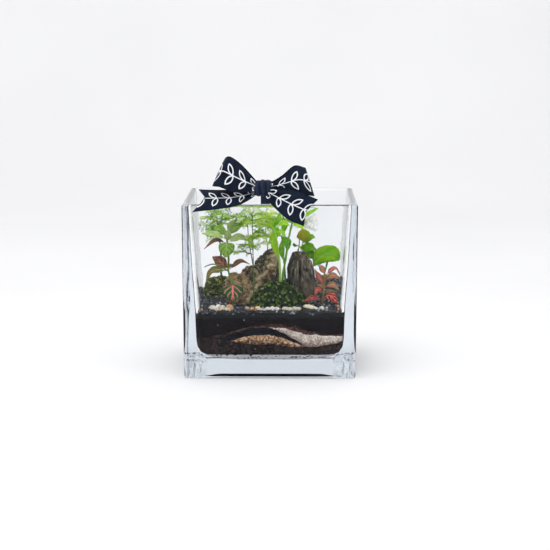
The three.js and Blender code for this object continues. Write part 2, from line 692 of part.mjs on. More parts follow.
// Palm seedling: three smooth stems with long leaflets at their tops
const PALMS = {
  palm_stem_front: {
    stalk: [
      v(9.2, -22.5, 66),
      v(8.4, -21.4, 85),
      v(7.3, -20, 99.2),
      v(4.4, -17, 115.7),
      v(2.2, -15, 121.5),
    ],
    leaflets: [
      [[2.4, -15.2, 121], [6.2, -14, 129], [9.2, -12.4, 137.2], [0.2, -1, 0.1], 5],
      [[2.4, -15, 120], [-3, -14, 124], [-9.5, -12.5, 122], [0, -0.5, 1], 5],
      [[3, -15.6, 119], [1.6, -9, 125], [-1, -3, 127.5], [0, -0.6, 1], 5],
    ],
  },
  palm_stem_middle: {
    stalk: [
      v(10.8, -13.5, 66),
      v(11.2, -13.2, 80),
      v(13.4, -12, 92.5),
      v(16.1, -8.4, 111.8),
      v(19, -4.2, 125),
    ],
    leaflets: [
      [[19, -4.4, 124], [15.6, -6, 129.6], [12.4, -7, 135], [0.2, -1, 0.2], 5.5],
      [[18.8, -4.6, 124], [21.6, -7, 130], [25.6, -9, 132.5], [0, -1, 0.4], 6],
      [[19, -4.4, 124.4], [31.5, 4, 131], [45.4, 9, 138], [-0.2, -0.7, 1], 5.5],
      [[18.6, -5, 122.5], [25, -3.6, 126], [30.5, -3, 121.5], [0, -0.7, 1], 5.5],
      [[18.8, -4.6, 123.5], [17.4, 2, 129], [14.8, 8, 130], [0, -0.3, 1], 5.5],
    ],
  },
  palm_stem_back: {
    stalk: [v(13.5, 13, 68), v(12.6, 12.6, 84), v(11, 12, 98), v(10, 11.6, 112)],
    leaflets: [
      [[10.2, 11.7, 110], [5, 9.6, 112.5], [-2.6, 8.6, 103.4], [-0.3, -0.8, 0.7], 8],
      [[10.1, 11.7, 111], [14.6, 7, 108], [15, 3.6, 98], [0.1, -1, 0.4], 6.5],
      [[10.1, 11.6, 111], [12, 12.6, 121], [11, 13.4, 129.5], [0.1, -1, 0], 6],
      [[10, 11.6, 110.5], [3.4, 14, 117.6], [-1.4, 15.6, 118.6], [-0.2, -0.6, 1], 5.5],
    ],
  },
};
const palms = Object.entries(PALMS).map(([name, { stalk, leaflets }]) => {
  const blades = leaflets.map((row) => leafOf(row, { outline: LANCE, fold: 0.25 }));
  return [name, fuse([rootedStem(stalk, [1.25, 0.8]), ...blades])];
});

// Round-leaved plant: a leafy stem behind the slate stone, and one large leaf on its own stalk
const roundStem = rootedStem([v(29, 20, 68), v(28, 21, 84), v(27.4, 21.6, 96), v(28.9, 21.8, 104)], [1, 0.7]);
const ROUND_LEAVES = [
  [[28.9, 21.8, 103], [29.6, 20.4, 110], [27.6, 20.6, 116.6], [-0.2, -1, 0.2], 12.5],
  [[28.6, 21.8, 102.5], [35.4, 22, 108.6], [40.2, 22.4, 108.2], [0, -0.9, 0.7], 6.5],
  [[27.4, 21.6, 94.5], [34, 20.4, 99.4], [40.6, 19.4, 97.4], [0.1, -1, 0.5], 9],
  [[27.4, 21.5, 88], [34.4, 20.6, 93.6], [40.8, 19.6, 88.6], [0.1, -1, 0.5], 9],
  [[27.6, 21.6, 97], [24.6, 28, 100], [20.6, 34, 98], [0, 0.7, 1], 10],
  [[27.8, 21.4, 86], [32, 29, 90.5], [36, 34.5, 87.4], [0, 0.7, 1], 10],
];
const roundPlant = fuse([roundStem, ...ROUND_LEAVES.map((row) => leafOf(row, { outline: ROUND }))]);

const bigStalk = rootedStem([v(45.2, 2, 66), v(46.6, 5, 72), v(48.6, 10, 79), v(52.6, 13.6, 93.4)], [1, 0.7]);
const bigLeaf = leaf(
  [v(63.2, 15, 90), v(54, 14.6, 94.6), v(45, 13.4, 92.4), v(38.4, 12, 84)],
  v(-0.1, -1, 0.45),
  16.5,
  { outline: [0.3, 0.86, 1, 0.95, 0.66, 0.08], stalk: 0.02 },
);
const bigLeafPlant = fuse([bigStalk, bigLeaf]);

// Asparagus fern: wiry stems with flat sprays of fine needles
const TWIG_ARCH = 1.4;

const FRONDS = {
  fern_frond_left: {
    stems: [[v(-44.4, 20, 66), v(-45.4, 19, 92), v(-47.4, 16, 116), v(-48.4, 15, 131.5)]],
    sprays: [
      [v(-47.6, 16, 118), v(-62.4, 9, 121)],
      [v(-47.8, 15.8, 121), v(-36, 10, 121.6)],
      [v(-47.9, 15.6, 123.5), v(-61, 18, 126.4)],
      [v(-48, 15.5, 126), v(-33, 12, 128.6)],
      [v(-48.1, 15.3, 127.5), v(-54, 2, 128.6)],
      [v(-48.2, 15.2, 129), v(-42, 3.6, 131.6)],
      [v(-48.3, 15.1, 130), v(-52, 27, 131)],
      [v(-48.3, 15, 131), v(-38, 22, 133)],
      [v(-48.3, 15, 131), v(-55.6, 12, 134)],
    ],
    seed: 31,
  },
  fern_frond_front: {
    stems: [
      [v(-14.1, -39.5, 64), v(-14.8, -38.6, 90), v(-15.1, -35.5, 112), v(-16, -30, 136)],
      [v(-14.9, -38.4, 93), v(-18.4, -37, 112), v(-19.6, -32.5, 127)],
    ],
    sprays: [
      [v(-15, -36.8, 102), v(-33, -30, 103)],
      [v(-15.1, -36.2, 106), v(-27, -27, 107.4)],
      [v(-15.2, -34.6, 116), v(-5, -40, 118.6)],
      [v(-19.5, -33, 125.5), v(-29.6, -40, 128)],
      [v(-19.5, -32.6, 126.6), v(-26, -22, 129.8)],
      [v(-15.6, -32.4, 125.6), v(-2, -34, 128)],
      [v(-15.7, -31.8, 128), v(-8, -44, 129.4)],
      [v(-15.8, -31.2, 131), v(1.6, -28, 131.6)],
      [v(-15.8, -31, 132), v(-30, -33, 135)],
      [v(-15.9, -30.6, 133.6), v(-12, -17, 134)],
      [v(-15.9, -30.4, 134.6), v(-3, -38, 137)],
      [v(-16, -30.2, 135.4), v(-24, -20, 138)],
      [v(-16, -30, 136), v(-13, -26, 141)],
    ],
    seed: 37,
  },
  fern_frond_middle: {
    stems: [[v(-3.6, 31, 66), v(-3.8, 30.4, 96), v(-4.6, 28.4, 114), v(-3, 27, 127)]],
    sprays: [
      [v(-4.4, 28.8, 111), v(-12.6, 25, 114.6)],
      [v(-4.6, 28.2, 115.5), v(6, 23, 117)],
      [v(-4.3, 28, 119), v(-13, 31, 122.6)],
      [v(-3.8, 27.6, 122), v(9.6, 30, 124)],
      [v(-3.4, 27.3, 124.6), v(-5, 15.6, 127)],
      [v(-3.2, 27.1, 126), v(4.6, 37, 128.6)],
      [v(-3, 27, 126.6), v(-9, 20, 131)],
    ],
    seed: 41,
  },
  fern_frond_back: {
    stems: [[v(24.5, 41, 68), v(24.8, 41.6, 94), v(27, 43.6, 110), v(31, 45, 119)]],
    sprays: [
      [v(27.4, 43.8, 111.6), v(37.6, 41, 115)],
      [v(28.4, 44.2, 114), v(24.6, 35.6, 119)],
      [v(29.6, 44.6, 116.6), v(40.6, 48, 120)],
      [v(30.4, 44.8, 118), v(37.6, 39.6, 124.6)],
      [v(31, 45, 119), v(31, 50, 126)],
    ],
    seed: 43,
  },
};
const fronds = Object.entries(FRONDS).map(([name, { stems, sprays, seed }]) => {
  const random = seeded(seed);
  const [main, ...others] = stems;
  const wires = others.map((wire) => stem(wire, [0.6, 0.5], { sides: 4 }));
  const twigs = sprays.map(([from, to]) => {
    const middle = from.clone().lerp(to, 0.5).add(v(0, 0, TWIG_ARCH));
    return needledTwig([from, middle, to], random);
  });
  return [name, fuse([rootedStem(main, [0.85, 0.55], { sides: 4 }), ...wires, ...twigs])];
});

// ---------------------------------------------------------------- ribbon bow

// A strip of ribbon through stations of [upper edge, middle, lower edge]
function ribbon(stations, steps) {
  const lines = [0, 1, 2].map((line) => stations.map((station) => station[line]));
  const curves = lines.map((points) => new THREE.CatmullRomCurve3(points));
  const rings = Array.from({ length: steps + 1 }, (_, i) => {
    const t = i / steps;
    const [upper, middle, lower] = curves.map((curve) => curve.getPoint(t));
    const along = curves[1].getTangent(t);
    const outward = upper.clone().sub(lower).cross(along).normalize();
    const face = (side) => (point) => point.clone().addScaledVector(outward, (side * RIBBON_THICKNESS) / 2);
    return [...[lower, middle, upper].map(face(1)), ...[upper, middle, lower].map(face(-1))];
  });
  return loft(rings, { turned: [3, 4], hub: 1 });
}

const KNOT = { x: -5.3, y: -81, z: 165, half: 7, depth: 7.2, height: 7.4 };
const KNOT_LEFT = KNOT.x - KNOT.half - WIDE_GAP;
const KNOT_RIGHT = KNOT.x + KNOT.half + WIDE_GAP;

const LOOP_LEFT = [
  [v(KNOT_LEFT, -82.5, 171.6), v(KNOT_LEFT, -84.5, 166.4), v(KNOT_LEFT, -83.4, 161.4)],
  [v(-23.4, -84.6, 185), v(-26.4, -87, 173.8), v(-29.6, -85.6, 162)],
  [v(-33, -83, 191.6), v(-38.8, -85.4, 179.6), v(-44.6, -83.6, 167)],
  [v(-37.6, -77.6, 189.4), v(-43.4, -78, 177.8), v(-48.2, -77.8, 166.2)],
  [v(-34.4, -72, 187.6), v(-38.6, -71, 176.8), v(-43, -72, 165)],
  [v(-22.4, -71.6, 180.6), v(-25, -70.6, 172.4), v(-29, -71.6, 164.2)],
  [v(KNOT_LEFT, -76.4, 170.6), v(KNOT_LEFT, -76, 167.4), v(KNOT_LEFT, -77, 163.8)],
];
const LOOP_RIGHT = [
  [v(KNOT_RIGHT, -82.6, 168.4), v(KNOT_RIGHT, -84.6, 166), v(KNOT_RIGHT, -83.4, 163.6)],
  [v(10.6, -83.6, 175.8), v(12.6, -86, 169.4), v(14.6, -84.6, 163)],
  [v(20.8, -82, 184), v(24.4, -84.4, 172.4), v(27.8, -83.2, 160)],
  [v(30, -77, 181.4), v(33.8, -78, 170), v(37.6, -78, 157.8)],
  [v(26, -71.6, 181.6), v(29.4, -70.6, 170), v(32.6, -72, 159.6)],
  [v(12.4, -71.4, 174.8), v(14.4, -70.6, 168.8), v(16.6, -71.6, 163.4)],
  [v(KNOT_RIGHT, -76.6, 168.6), v(KNOT_RIGHT, -76, 166.4), v(KNOT_RIGHT, -77, 164)],
];
const TAIL_LEFT = [
  [v(KNOT_LEFT, -79.4, 162.6), v(KNOT_LEFT, -80.6, 160.8), v(KNOT_LEFT, -80.8, 158.8)],
  [v(-20, -77.6, 162.6), v(-20, -81, 158.8), v(-19, -82.4, 153.8)],
  [v(-33.4, -72, 162.4), v(-32, -79, 156.6), v(-29.4, -82.4, 149.4)],
  [v(-47, -68, 162), v(-47, -76.4, 155.8), v(-46, -81.6, 146.8)],
  [v(-60.6, -66, 162.2), v(-54.4, -75, 156.6), v(-65.3, -81.2, 144.6)],
];
const TAIL_RIGHT = [
  [v(4, -86.2, 166.4), v(1.4, -88, 160), v(-3, -87.4, 155)],
  [v(14.8, -87.4, 165.2), v(10, -88.6, 156.2), v(4, -87, 148.8)],
  [v(28, -88, 161.4), v(22, -88.4, 150.4), v(15.4, -86, 139)],
  [v(40.8, -86.4, 155.8), v(31.4, -86.8, 147.6), v(28.6, -84, 133.2)],
];
const TAB = { left: -7.6, right: 0.4, front: -73.3, back: -70.3, top: 168 };

const knotRings = [-1, -0.55, 0, 0.55, 1].map((share) =>
  Array.from({ length: 12 }, (_, side) => {
    const angle = (side / 12) * 2 * Math.PI;
    const size = 1 - 0.14 * share * share;
    const x = KNOT.x + share * KNOT.half;
    return v(x, KNOT.y + KNOT.depth * size * Math.cos(angle), KNOT.z + KNOT.height * size * Math.sin(angle));
  }),
);
const knot = loft(knotRings);

function tab() {
  const width = TAB.right - TAB.left;
  const depth = TAB.back - TAB.front;
  const height = TAB.top - HEIGHT - GAP;
  const geometry = new THREE.BoxGeometry(width, depth, height);
  geometry.translate((TAB.left + TAB.right) / 2, (TAB.front + TAB.back) / 2, HEIGHT + GAP + height / 2);
  return solidOf(geometry);
}

// ---------------------------------------------------------------- the part

addPart("glass_vessel", vessel, 0xe6eef4, 0.03);
addPart("soil_lower", lowerSoil, 0x2e2220, 0.95);
addPart("sand_tan", tanSand, 0xb98a66, 0.9);
addPart("sand_navy", navySand, 0x141a24, 0.85);
addPart("sand_cream", creamSand, 0xd8cdc0, 0.9);
addPart("sand_rust", rustSand, 0x5d3a34, 0.9);
addPart("soil_upper", cutAll(upperSoilWhole, holes), 0x1d1a1c, 0.95);
addPart("gravel_topping", cutAll(gravelWhole, [...settled, ...holes]), 0x23262f, 0.5);
addPart("stone_brown", brownStone, 0x7c6a4f, 0.9);
addPart("stone_slate", slateStone, 0x4d4841, 0.9);
addPart("moss_mound", cutAll(mossWhole, holes), 0x34471f, 0.95);
addPart("moss_cushion", cutAll(cushionWhole, holes), 0x5a6a2a, 0.95);
addPart("nerve_plant_left", leftPlant, PALE_GREEN, 0.45);
addPart("nerve_plant_right", rightPlant, PINK, 0.45);
for (const [name, palm] of palms) addPart(name, palm, GREEN, 0.4);
addPart("round_leaf_stem", roundPlant, 0x5fae1e, 0.35);
addPart("round_leaf_large", bigLeafPlant, 0x58a51c, 0.35);
for (const [name, frond] of fronds) addPart(name, frond, 0x4f8a26, 0.5);
addPart("bow_loop_left", ribbon(LOOP_LEFT, 18), 0x141a2e, 0.6);
addPart("bow_loop_right", ribbon(LOOP_RIGHT, 18), 0x141a2e, 0.6);
addPart("bow_tail_left", ribbon(TAIL_LEFT, 10), 0x141a2e, 0.6);
addPart("bow_tail_right", ribbon(TAIL_RIGHT, 8), 0x141a2e, 0.6);
addPart("bow_knot", knot, 0x121728, 0.6);
addPart("bow_tab", tab(), 0x121728, 0.6);

export default group;
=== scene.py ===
import math
import random
from functools import lru_cache

import bmesh
import bpy
import numpy as np
from mathutils import Euler, Matrix, Vector, noise
from mathutils.bvhtree import BVHTree


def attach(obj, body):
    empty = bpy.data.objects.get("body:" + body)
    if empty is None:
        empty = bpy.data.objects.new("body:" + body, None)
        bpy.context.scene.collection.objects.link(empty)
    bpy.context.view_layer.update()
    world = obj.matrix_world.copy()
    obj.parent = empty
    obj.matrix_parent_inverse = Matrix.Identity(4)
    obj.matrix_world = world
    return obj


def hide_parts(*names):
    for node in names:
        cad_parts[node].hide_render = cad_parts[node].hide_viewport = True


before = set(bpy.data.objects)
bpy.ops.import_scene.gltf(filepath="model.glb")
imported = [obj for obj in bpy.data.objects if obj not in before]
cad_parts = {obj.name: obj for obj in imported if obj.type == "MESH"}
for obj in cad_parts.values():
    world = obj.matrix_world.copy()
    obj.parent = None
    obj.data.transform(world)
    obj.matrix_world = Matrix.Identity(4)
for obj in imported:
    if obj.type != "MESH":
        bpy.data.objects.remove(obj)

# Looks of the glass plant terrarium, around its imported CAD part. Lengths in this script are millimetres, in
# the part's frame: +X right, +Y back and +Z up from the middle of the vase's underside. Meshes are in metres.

MM = 0.001
UP = Vector((0, 0, 1))
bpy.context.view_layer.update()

# ---------------------------------------------------------------- driving dimensions

HEIGHT = 150

# Rings of the vase as (half width, corner radius, height)
RIM_OUTSIDE = (75, 3, 147.8)
RIM_TOP = (73, 2.5, 150)
LIP_INSIDE = (69.6, 4, 147.6)
LIP_TOP = (71.4, 3.4, 150)
FOOT_SIDE = (73.8, 3, 1.8)
FOOT_UNDER = (72, 2.2, 0)
INNER = [
    (24, 20, 12.4), (42, 24, 12.9), (51, 24, 14.4), (57.6, 17, 17.8), (61.4, 12.5, 22.6), (63.6, 9.5, 30),
    (64.6, 6.4, 57), (67.4, 5, 104), LIP_INSIDE,
]
FLOOR_CENTRE = 12.3
PUSH_UP = 0.5  # how far the middle of the underside is raised
PUSH_EDGE = 26  # width of the ring over which the raised underside comes down
WET = -0.06  # the damp filling clings to the glass, with no air between them

GROUND_FRONT = 56.5
GROUND_BACK_RISE = 3.75
GROUND_TWIST = 5.75
FILL_HALF = 66
GRAVEL_DEPTH = 5
GRAVEL_PITCH = 1.9

RIBBON_THICKNESS = 0.4
RIBBON_WIDTH = 25


# ---------------------------------------------------------------- curves and meshes

def spline(a, b, c, d, t):
    """A smooth curve's point between b and c, where t goes from 0 to 1."""
    square, cube = 2 * a - 5 * b + 4 * c - d, 3 * b - a - 3 * c + d
    return 0.5 * (2 * b + (c - a) * t + square * t ** 2 + cube * t ** 3)


def with_ends(points):
    p = np.array([tuple(q) for q in points], float)
    return np.vstack([2 * p[0] - p[1], p, 2 * p[-1] - p[-2]])


def reach_along(points):
    """How far along a line each of its points lies."""
    return np.concatenate([[0], np.cumsum(np.linalg.norm(np.diff(points, axis=0), axis=1))])


def smooth_line(points, count):
    """Count + 1 evenly spaced points on a smooth curve through the given ones."""
    p = with_ends(points)
    t = np.linspace(0, 1, 13)[:-1, None]
    fine = np.vstack([*(spline(*four, t) for four in zip(p, p[1:], p[2:], p[3:])), p[-2:-1]])
    reach = reach_along(fine)
    wanted = np.linspace(0, reach[-1], count + 1)
    return [Vector(q) for q in zip(*(np.interp(wanted, reach, fine[:, k]) for k in range(p.shape[1])))]


def smooth_by_station(points, steps):
    """Steps + 1 points on a smooth curve, with as many of them between each two of the given points."""
    p = with_ends(points)
    last = len(points) - 1
    spots = [min(k / steps * last, last - 1e-9) for k in range(steps + 1)]
    return np.array([spline(*p[int(spot):int(spot) + 4], spot % 1) for spot in spots])


def ahead_at(line, k):
    """The way along a line at one of its points."""
    return (line[min(k + 1, len(line) - 1)] - line[max(k - 1, 0)]).normalized()


def bands(rings, count, closed=False):
    """Four-sided faces between each two rings of count points, also from the last to the first if closed."""
    faces = []
    for ring in range(rings if closed else rings - 1):
        a, b = ring * count, (ring + 1) % rings * count
        faces += [(a + k, a + (k + 1) % count, b + (k + 1) % count, b + k) for k in range(count)]
    return faces


class Shape:
    """Points and faces of a mesh. Each point has a place: how far along and across it lies, and a tint."""

    def __init__(self):
        self.points = []
        self.faces = []
        self.places = []

    def add(self, points, faces, places):
        first = len(self.points)
        self.points += points
        self.faces += [[first + k for k in face] for face in faces]
        self.places += places

    def loft(self, rings, places):
        """A closed solid over rings that turn anticlockwise about the way they follow each other."""
        count = len(rings[0])
        top = (len(rings) - 1) * count
        faces = [*bands(len(rings), count), tuple(reversed(range(count))), tuple(range(top, top + count))]
        self.add(sum(rings, []), faces, sum(places, []))

    def tube(self, line, radii, sides=6, tint=0.0):
        last = len(line) - 1
        turns = [2 * math.pi * n / sides for n in range(sides)]
        side = ahead_at(line, 0).orthogonal()
        rings, places = [], []
        for k, point in enumerate(line):
            ahead = ahead_at(line, k)
            side = (side - ahead * side.dot(ahead)).normalized()
            other = ahead.cross(side)
            radius = radii[0] + (radii[1] - radii[0]) * k / last
            rings.append([point + radius * (math.cos(a) * side + math.sin(a) * other) for a in turns])
            places.append([(k / last, math.cos(a), tint) for a in turns])
        self.loft(rings, places)

    def needle(self, foot, tip, radius, tint):
        ahead = (tip - foot).normalized()
        side = ahead.orthogonal().normalized() * radius
        other = ahead.cross(side)
        base = [foot + side, foot - 0.5 * side + 0.87 * other, foot - 0.5 * side - 0.87 * other]
        faces = [(0, 1, 3), (1, 2, 3), (2, 0, 3), (2, 1, 0)]
        self.add([*base, tip], faces, [(0, 0, tint)] * 3 + [(1, 0, tint)])

    def leaf(self, points, facing, width, outline, fold=0.15, stalk=0.12, quilt=0.0, tint=0.0, rows=14):
        """A thin leaf along a line, wider after its stalk, with folded-up sides and raised panels."""
        line = smooth_line(points, rows)
        columns, thin, panels, least_half = 4, 0.2, 5, 0.28
        across = [k / columns for k in range(-columns, columns + 1)]
        shares = np.linspace(0, 1, len(outline))
        rings, places = [], []
        for k, point in enumerate(line):
            t = k / rows
            ahead = ahead_at(line, k)
            sideways = facing.cross(ahead).normalized()
            up = ahead.cross(sideways)
            blade = max(0.0, (t - stalk) / (1 - stalk))
            half = max(float(np.interp(blade, shares, outline)) * width / 2, least_half)
            wave = 0.05 * math.sin(9 * t + width)

            def at(w, face):
                panel = abs(math.sin(math.pi * panels * (t - 0.3 * abs(w)))) * (1 - w * w) * min(1, 3 * blade)
                lift = half * (fold * abs(w) ** 1.4 + wave * w) + quilt * panel
                return point + sideways * (w * half) + up * (lift + face * thin * (1 - w * w))

            rings.append([at(w, 1) for w in reversed(across)] + [at(w, -1) for w in across[1:-1]])
            places.append([(t, w, tint) for w in [*reversed(across), *across[1:-1]]])
        self.loft(rings, places)

    def grain(self, middle, sizes, turn, draw, tint):
        """An angular grain with twenty faces."""
        points = []
        for corner in GRAIN_CORNERS:
            shift = 0.8 + 0.4 * draw.random()
            points.append(middle + turn @ Vector(c * s * shift for c, s in zip(corner, sizes)))
        self.add(points, GRAIN_FACES, [(0, 0, tint)] * len(points))

    def piece(self, name, material, slot, nodes=(), smooth=True, sharp=None):
        mesh = bpy.data.meshes.new(name)
        mesh.from_pydata([p * MM for p in self.points], [], self.faces)
        mesh.validate()
        place = mesh.attributes.new("place", "FLOAT_VECTOR", "POINT")
        place.data.foreach_set("vector", np.array(self.places, np.float32).ravel())
        return placed(name, mesh, material, nodes, smooth, sharp)


def in_scene(name, data):
    thing = bpy.data.objects.new(name, data)
    bpy.context.scene.collection.objects.link(thing)
    return thing


def placed(name, mesh, material, nodes=(), smooth=True, sharp=None):
    """Puts a mesh into the scene as a piece that rides on the part and stands for CAD nodes."""
    mesh.polygons.foreach_set("use_smooth", [smooth] * len(mesh.polygons))
    if sharp:
        mesh.set_sharp_from_angle(angle=math.radians(sharp))
    mesh.materials.clear()
    mesh.materials.append(material)
    piece = in_scene(name, mesh)
    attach(piece, "root")
    if nodes:
        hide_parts(*nodes)
    return piece


def ball(level):
    """Corners and faces of a unit ball made from an icosahedron."""
    mesh = bmesh.new()
    bmesh.ops.create_icosphere(mesh, subdivisions=level, radius=1)
    corners = [vertex.co.copy() for vertex in mesh.verts]
    faces = [tuple(vertex.index for vertex in face.verts) for face in mesh.faces]
    mesh.free()
    return corners, faces


GRAIN_CORNERS, GRAIN_FACES = ball(1)
PEBBLE_CORNERS, PEBBLE_FACES = ball(3)


def rough(point, size, octaves=3):
    """Smooth noise from about -1 to 1 whose broadest bumps have the given size."""
    return noise.fractal(Vector(point) / size, 0.7, 2.1, octaves)


def tree_of(node):
    """A CAD node's mesh, ready for casting rays at it."""
    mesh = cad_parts[node].data
    return BVHTree.FromPolygons([v.co / MM for v in mesh.vertices], [p.vertices[:] for p in mesh.polygons])


# ---------------------------------------------------------------- materials

def rgb(code):
    """A colour written as on a screen, in the shader's own light units."""
    parts = [(code >> shift & 255) / 255 for shift in (16, 8, 0)]
    return (*(p / 12.92 if p <= 0.04045 else ((p + 0.055) / 1.055) ** 2.4 for p in parts), 1)


class Value:
    """What a shader node gives. Sums, products and comparisons of values add math nodes."""

    def __init__(self, nodes, socket):
        self.nodes = nodes
        self.socket = socket

    def __add__(self, other):
        return self.nodes.math("ADD", self, other)

    def __sub__(self, other):
        return self.nodes.math("SUBTRACT", self, other)

    def __mul__(self, other):
        return self.nodes.math("MULTIPLY", self, other)

    def __truediv__(self, other):
        return self.nodes.math("DIVIDE", self, other)

    def __mod__(self, other):
        return self.nodes.math("MODULO", self, other)

    def __gt__(self, other):
        return self.nodes.math("GREATER_THAN", self, other)

    def __lt__(self, other):
        return self.nodes.math("LESS_THAN", self, other)

    def __abs__(self):
        return self.nodes.math("ABSOLUTE", self)


class Nodes:
    """The nodes of a material or a world. Most methods add a node and give its output."""

    def __init__(self, tree):
        self.tree = tree

    def node(self, kind, inputs, output=0, **settings):
        node = self.tree.nodes.new(kind)
        for name, value in settings.items():
            setattr(node, name, value)
        for key, value in inputs.items():
            self.put(node.inputs[key], value)
        return Value(self, node.outputs[output])

    def put(self, socket, value):
        if isinstance(value, Value):
            self.tree.links.new(value.socket, socket)
        else:
            socket.default_value = value

    def math(self, operation, a, b=0.0):
        return self.node("ShaderNodeMath", {0: a, 1: b}, operation=operation)

    def split(self, vector, axis):
        return self.node("ShaderNodeSeparateXYZ", {0: vector}, axis)

    def ramp(self, value, stops):
        """A colour for a value. The stops' colours are screen codes, or tuples in light units."""
        node = self.tree.nodes.new("ShaderNodeValToRGB")
        elements = node.color_ramp.elements
        for index, (spot, colour) in enumerate(stops):
            element = elements[index] if index < 2 else elements.new(spot)
            element.position = spot
            element.color = colour if isinstance(colour, tuple) else rgb(colour)
        self.put(node.inputs[0], value)
        return Value(self, node.outputs[0])


class Paint(Nodes):
    """A material."""

    def __init__(self, name, roughness=0.6, gloss=0.15):
        self.material = bpy.data.materials.new(name)
        self.material.use_nodes = True
        super().__init__(self.material.node_tree)
        self.shader = self.tree.nodes["Principled BSDF"]
        self.output = self.tree.nodes["Material Output"]
        self.set(Roughness=roughness, Specular_IOR_Level=gloss)

    def set(self, **sockets):
        for name, value in sockets.items():
            self.put(self.shader.inputs[name.replace("_", " ")], value)
        return self

    def blend(self, share, other):
        """Mixes another shader into the material's own."""
        own = Value(self, self.shader.outputs[0])
        both = self.node("ShaderNodeMixShader", {0: share, 1: own, 2: other})
        self.put(self.output.inputs["Surface"], both)
        return self

    def where(self, stretch=(1, 1, 1)):
        spot = self.node("ShaderNodeTexCoord", {}, "Object")
        scale = tuple(1 / (s * MM) for s in stretch)
        return self.node("ShaderNodeVectorMath", {0: spot, 1: scale}, operation="MULTIPLY")

    def along(self, axis, unit=1):
        """The place along an axis, in units of so many millimetres."""
        return self.split(self.where((unit, unit, unit)), axis)

    def far(self, spot, point):
        """The distance from a spot to a point."""
        return self.node("ShaderNodeVectorMath", {0: spot, 1: point}, "Value", operation="DISTANCE")

    def noise(self, size, detail=3, stretch=(1, 1, 1)):
        spot = self.where(tuple(size * s for s in stretch))
        return self.node("ShaderNodeTexNoise", {"Vector": spot, "Scale": 1, "Detail": detail}, "Fac")

    def cells(self, size, output="Distance", feature="F1"):
        spot = self.where((size, size, size))
        return self.node("ShaderNodeTexVoronoi", {"Vector": spot, "Scale": 1}, output, feature=feature)

    def each(self, size, axis="X"):
        """A random number for each cell of the given size, another one for each axis."""
        return self.split(self.cells(size, "Color"), axis)

    def rim(self, size):
        """The distance to the nearest border between cells."""
        return self.cells(size, feature="DISTANCE_TO_EDGE")

    def place(self, axis):
        """How far along (X), across (Y) or what tint (Z) a point of the mesh has."""
        return self.split(self.node("ShaderNodeAttribute", {}, "Vector", attribute_name="place"), axis)

    def rise(self, value, low, high, top=0xFFFFFF):
        return self.ramp(value, [(low, 0x000000), (high, top)])

    def fall(self, value, low, high, top=0xFFFFFF):
        return self.ramp(value, [(low, top), (high, 0x000000)])

    def mix(self, share, a, b):
        """Lays colour b over colour a by a share. Either can be a screen code."""
        a, b = (rgb(c) if isinstance(c, int) else c for c in (a, b))
        return self.node("ShaderNodeMix", {0: share, 6: a, 7: b}, 2, data_type="RGBA")

    def bump(self, height, depth):
        return self.set(Normal=self.node("ShaderNodeBump", {"Height": height, "Distance": depth * MM}))

    def glow_through(self, colour, share):
        """Lets light from behind through, as thin leaves do."""
        return self.blend(share, self.node("ShaderNodeBsdfTranslucent", {"Color": colour}))


def glass_paint():
    """Clear glass with a blue cast, wavy at its upright edges and rippled in its lower corners."""
    left_of_light, density = (0.73, 0.79, 0.85, 1), 7  # the cast that thick glass gives to light
    shadow = (0.93, 0.95, 0.96, 1)
    wave_height, ripple_height = 3, 9
    paint = Paint("clear_glass", 0.0, 0.5)
    tone = paint.ramp(paint.noise(40, 2), [(0.3, 0xF9FAFB), (0.7, 0xFCFDFD)])
    paint.set(Base_Color=tone, Transmission_Weight=1.0, IOR=1.5, Specular_Tint=(0.2, 0.22, 0.25, 1))
    height, aside, along = paint.along("Z", 60), abs(paint.along("X", 75)), abs(paint.along("Y", 75))
    slow = paint.noise(9, 2, (1, 1, 3)) * paint.rise(height, 0.25, 0.5)
    edge = paint.rise(aside, 0.8, 0.87) * paint.rise(along, 0.72, 0.85)
    waves = paint.noise(9, 1, (1, 1, 5)) * edge
    base_corner = paint.fall(height, 0.28, 0.38) * paint.rise(aside, 0.72, 0.8)
    ripples = paint.noise(5, 2, (1, 1, 2.2)) * base_corner
    paint.bump(ripples * ripple_height + waves * wave_height + slow, 0.12)
    dim = paint.node("ShaderNodeVolumeAbsorption", {"Color": left_of_light, "Density": density})
    paint.put(paint.output.inputs["Volume"], dim)
    clear = paint.node("ShaderNodeBsdfTransparent", {"Color": shadow})
    return paint.blend(paint.node("ShaderNodeLightPath", {}, "Is Shadow Ray"), clear).material


def grain_paint(name, stops, grain, patch, specks=None, fade=None, foot=None):
    """Sand or soil: each grain has its own tone, in broad patches.

    A layer can have pale specks, given as (size, share, colour). It can fade downwards into a soil's colour.
    It can have a band of painted light near the walls, on the glass floor, given as (height, colour), as pale
    grains.
    """
    band_half, near_wall = 2.8, 38
    paint = Paint(name, 0.95, 0.15)
    each = paint.each(grain)
    tone = paint.noise(patch, 4) * 0.5 + (each + paint.each(grain * 0.55, "Y")) * 0.26
    colour = paint.ramp(tone, stops)
    if fade:
        low = paint.fall((each - 0.5) * 0.7 + paint.place("Z"), 0.1, 0.75)
        colour = paint.mix(low * 0.9, colour, fade)
    if specks:
        size, share, light = specks
        shown = (paint.each(size, "Y") > 1 - share) * (paint.cells(size) < 0.27)
        colour = paint.mix(shown, colour, light)
    if foot:
        level, light = foot
        off = abs(paint.along("Z") - level)
        # painted light: pale grains where light is caught between the glass floor and the soil
        pale = (off < band_half) * (each > 0.15) * (abs(paint.along("Y")) > near_wall)
        colour = paint.mix(pale, colour, light)
    paint.set(Base_Color=colour)
    return paint.bump(paint.cells(grain) + paint.noise(grain * 3), 0.25).material


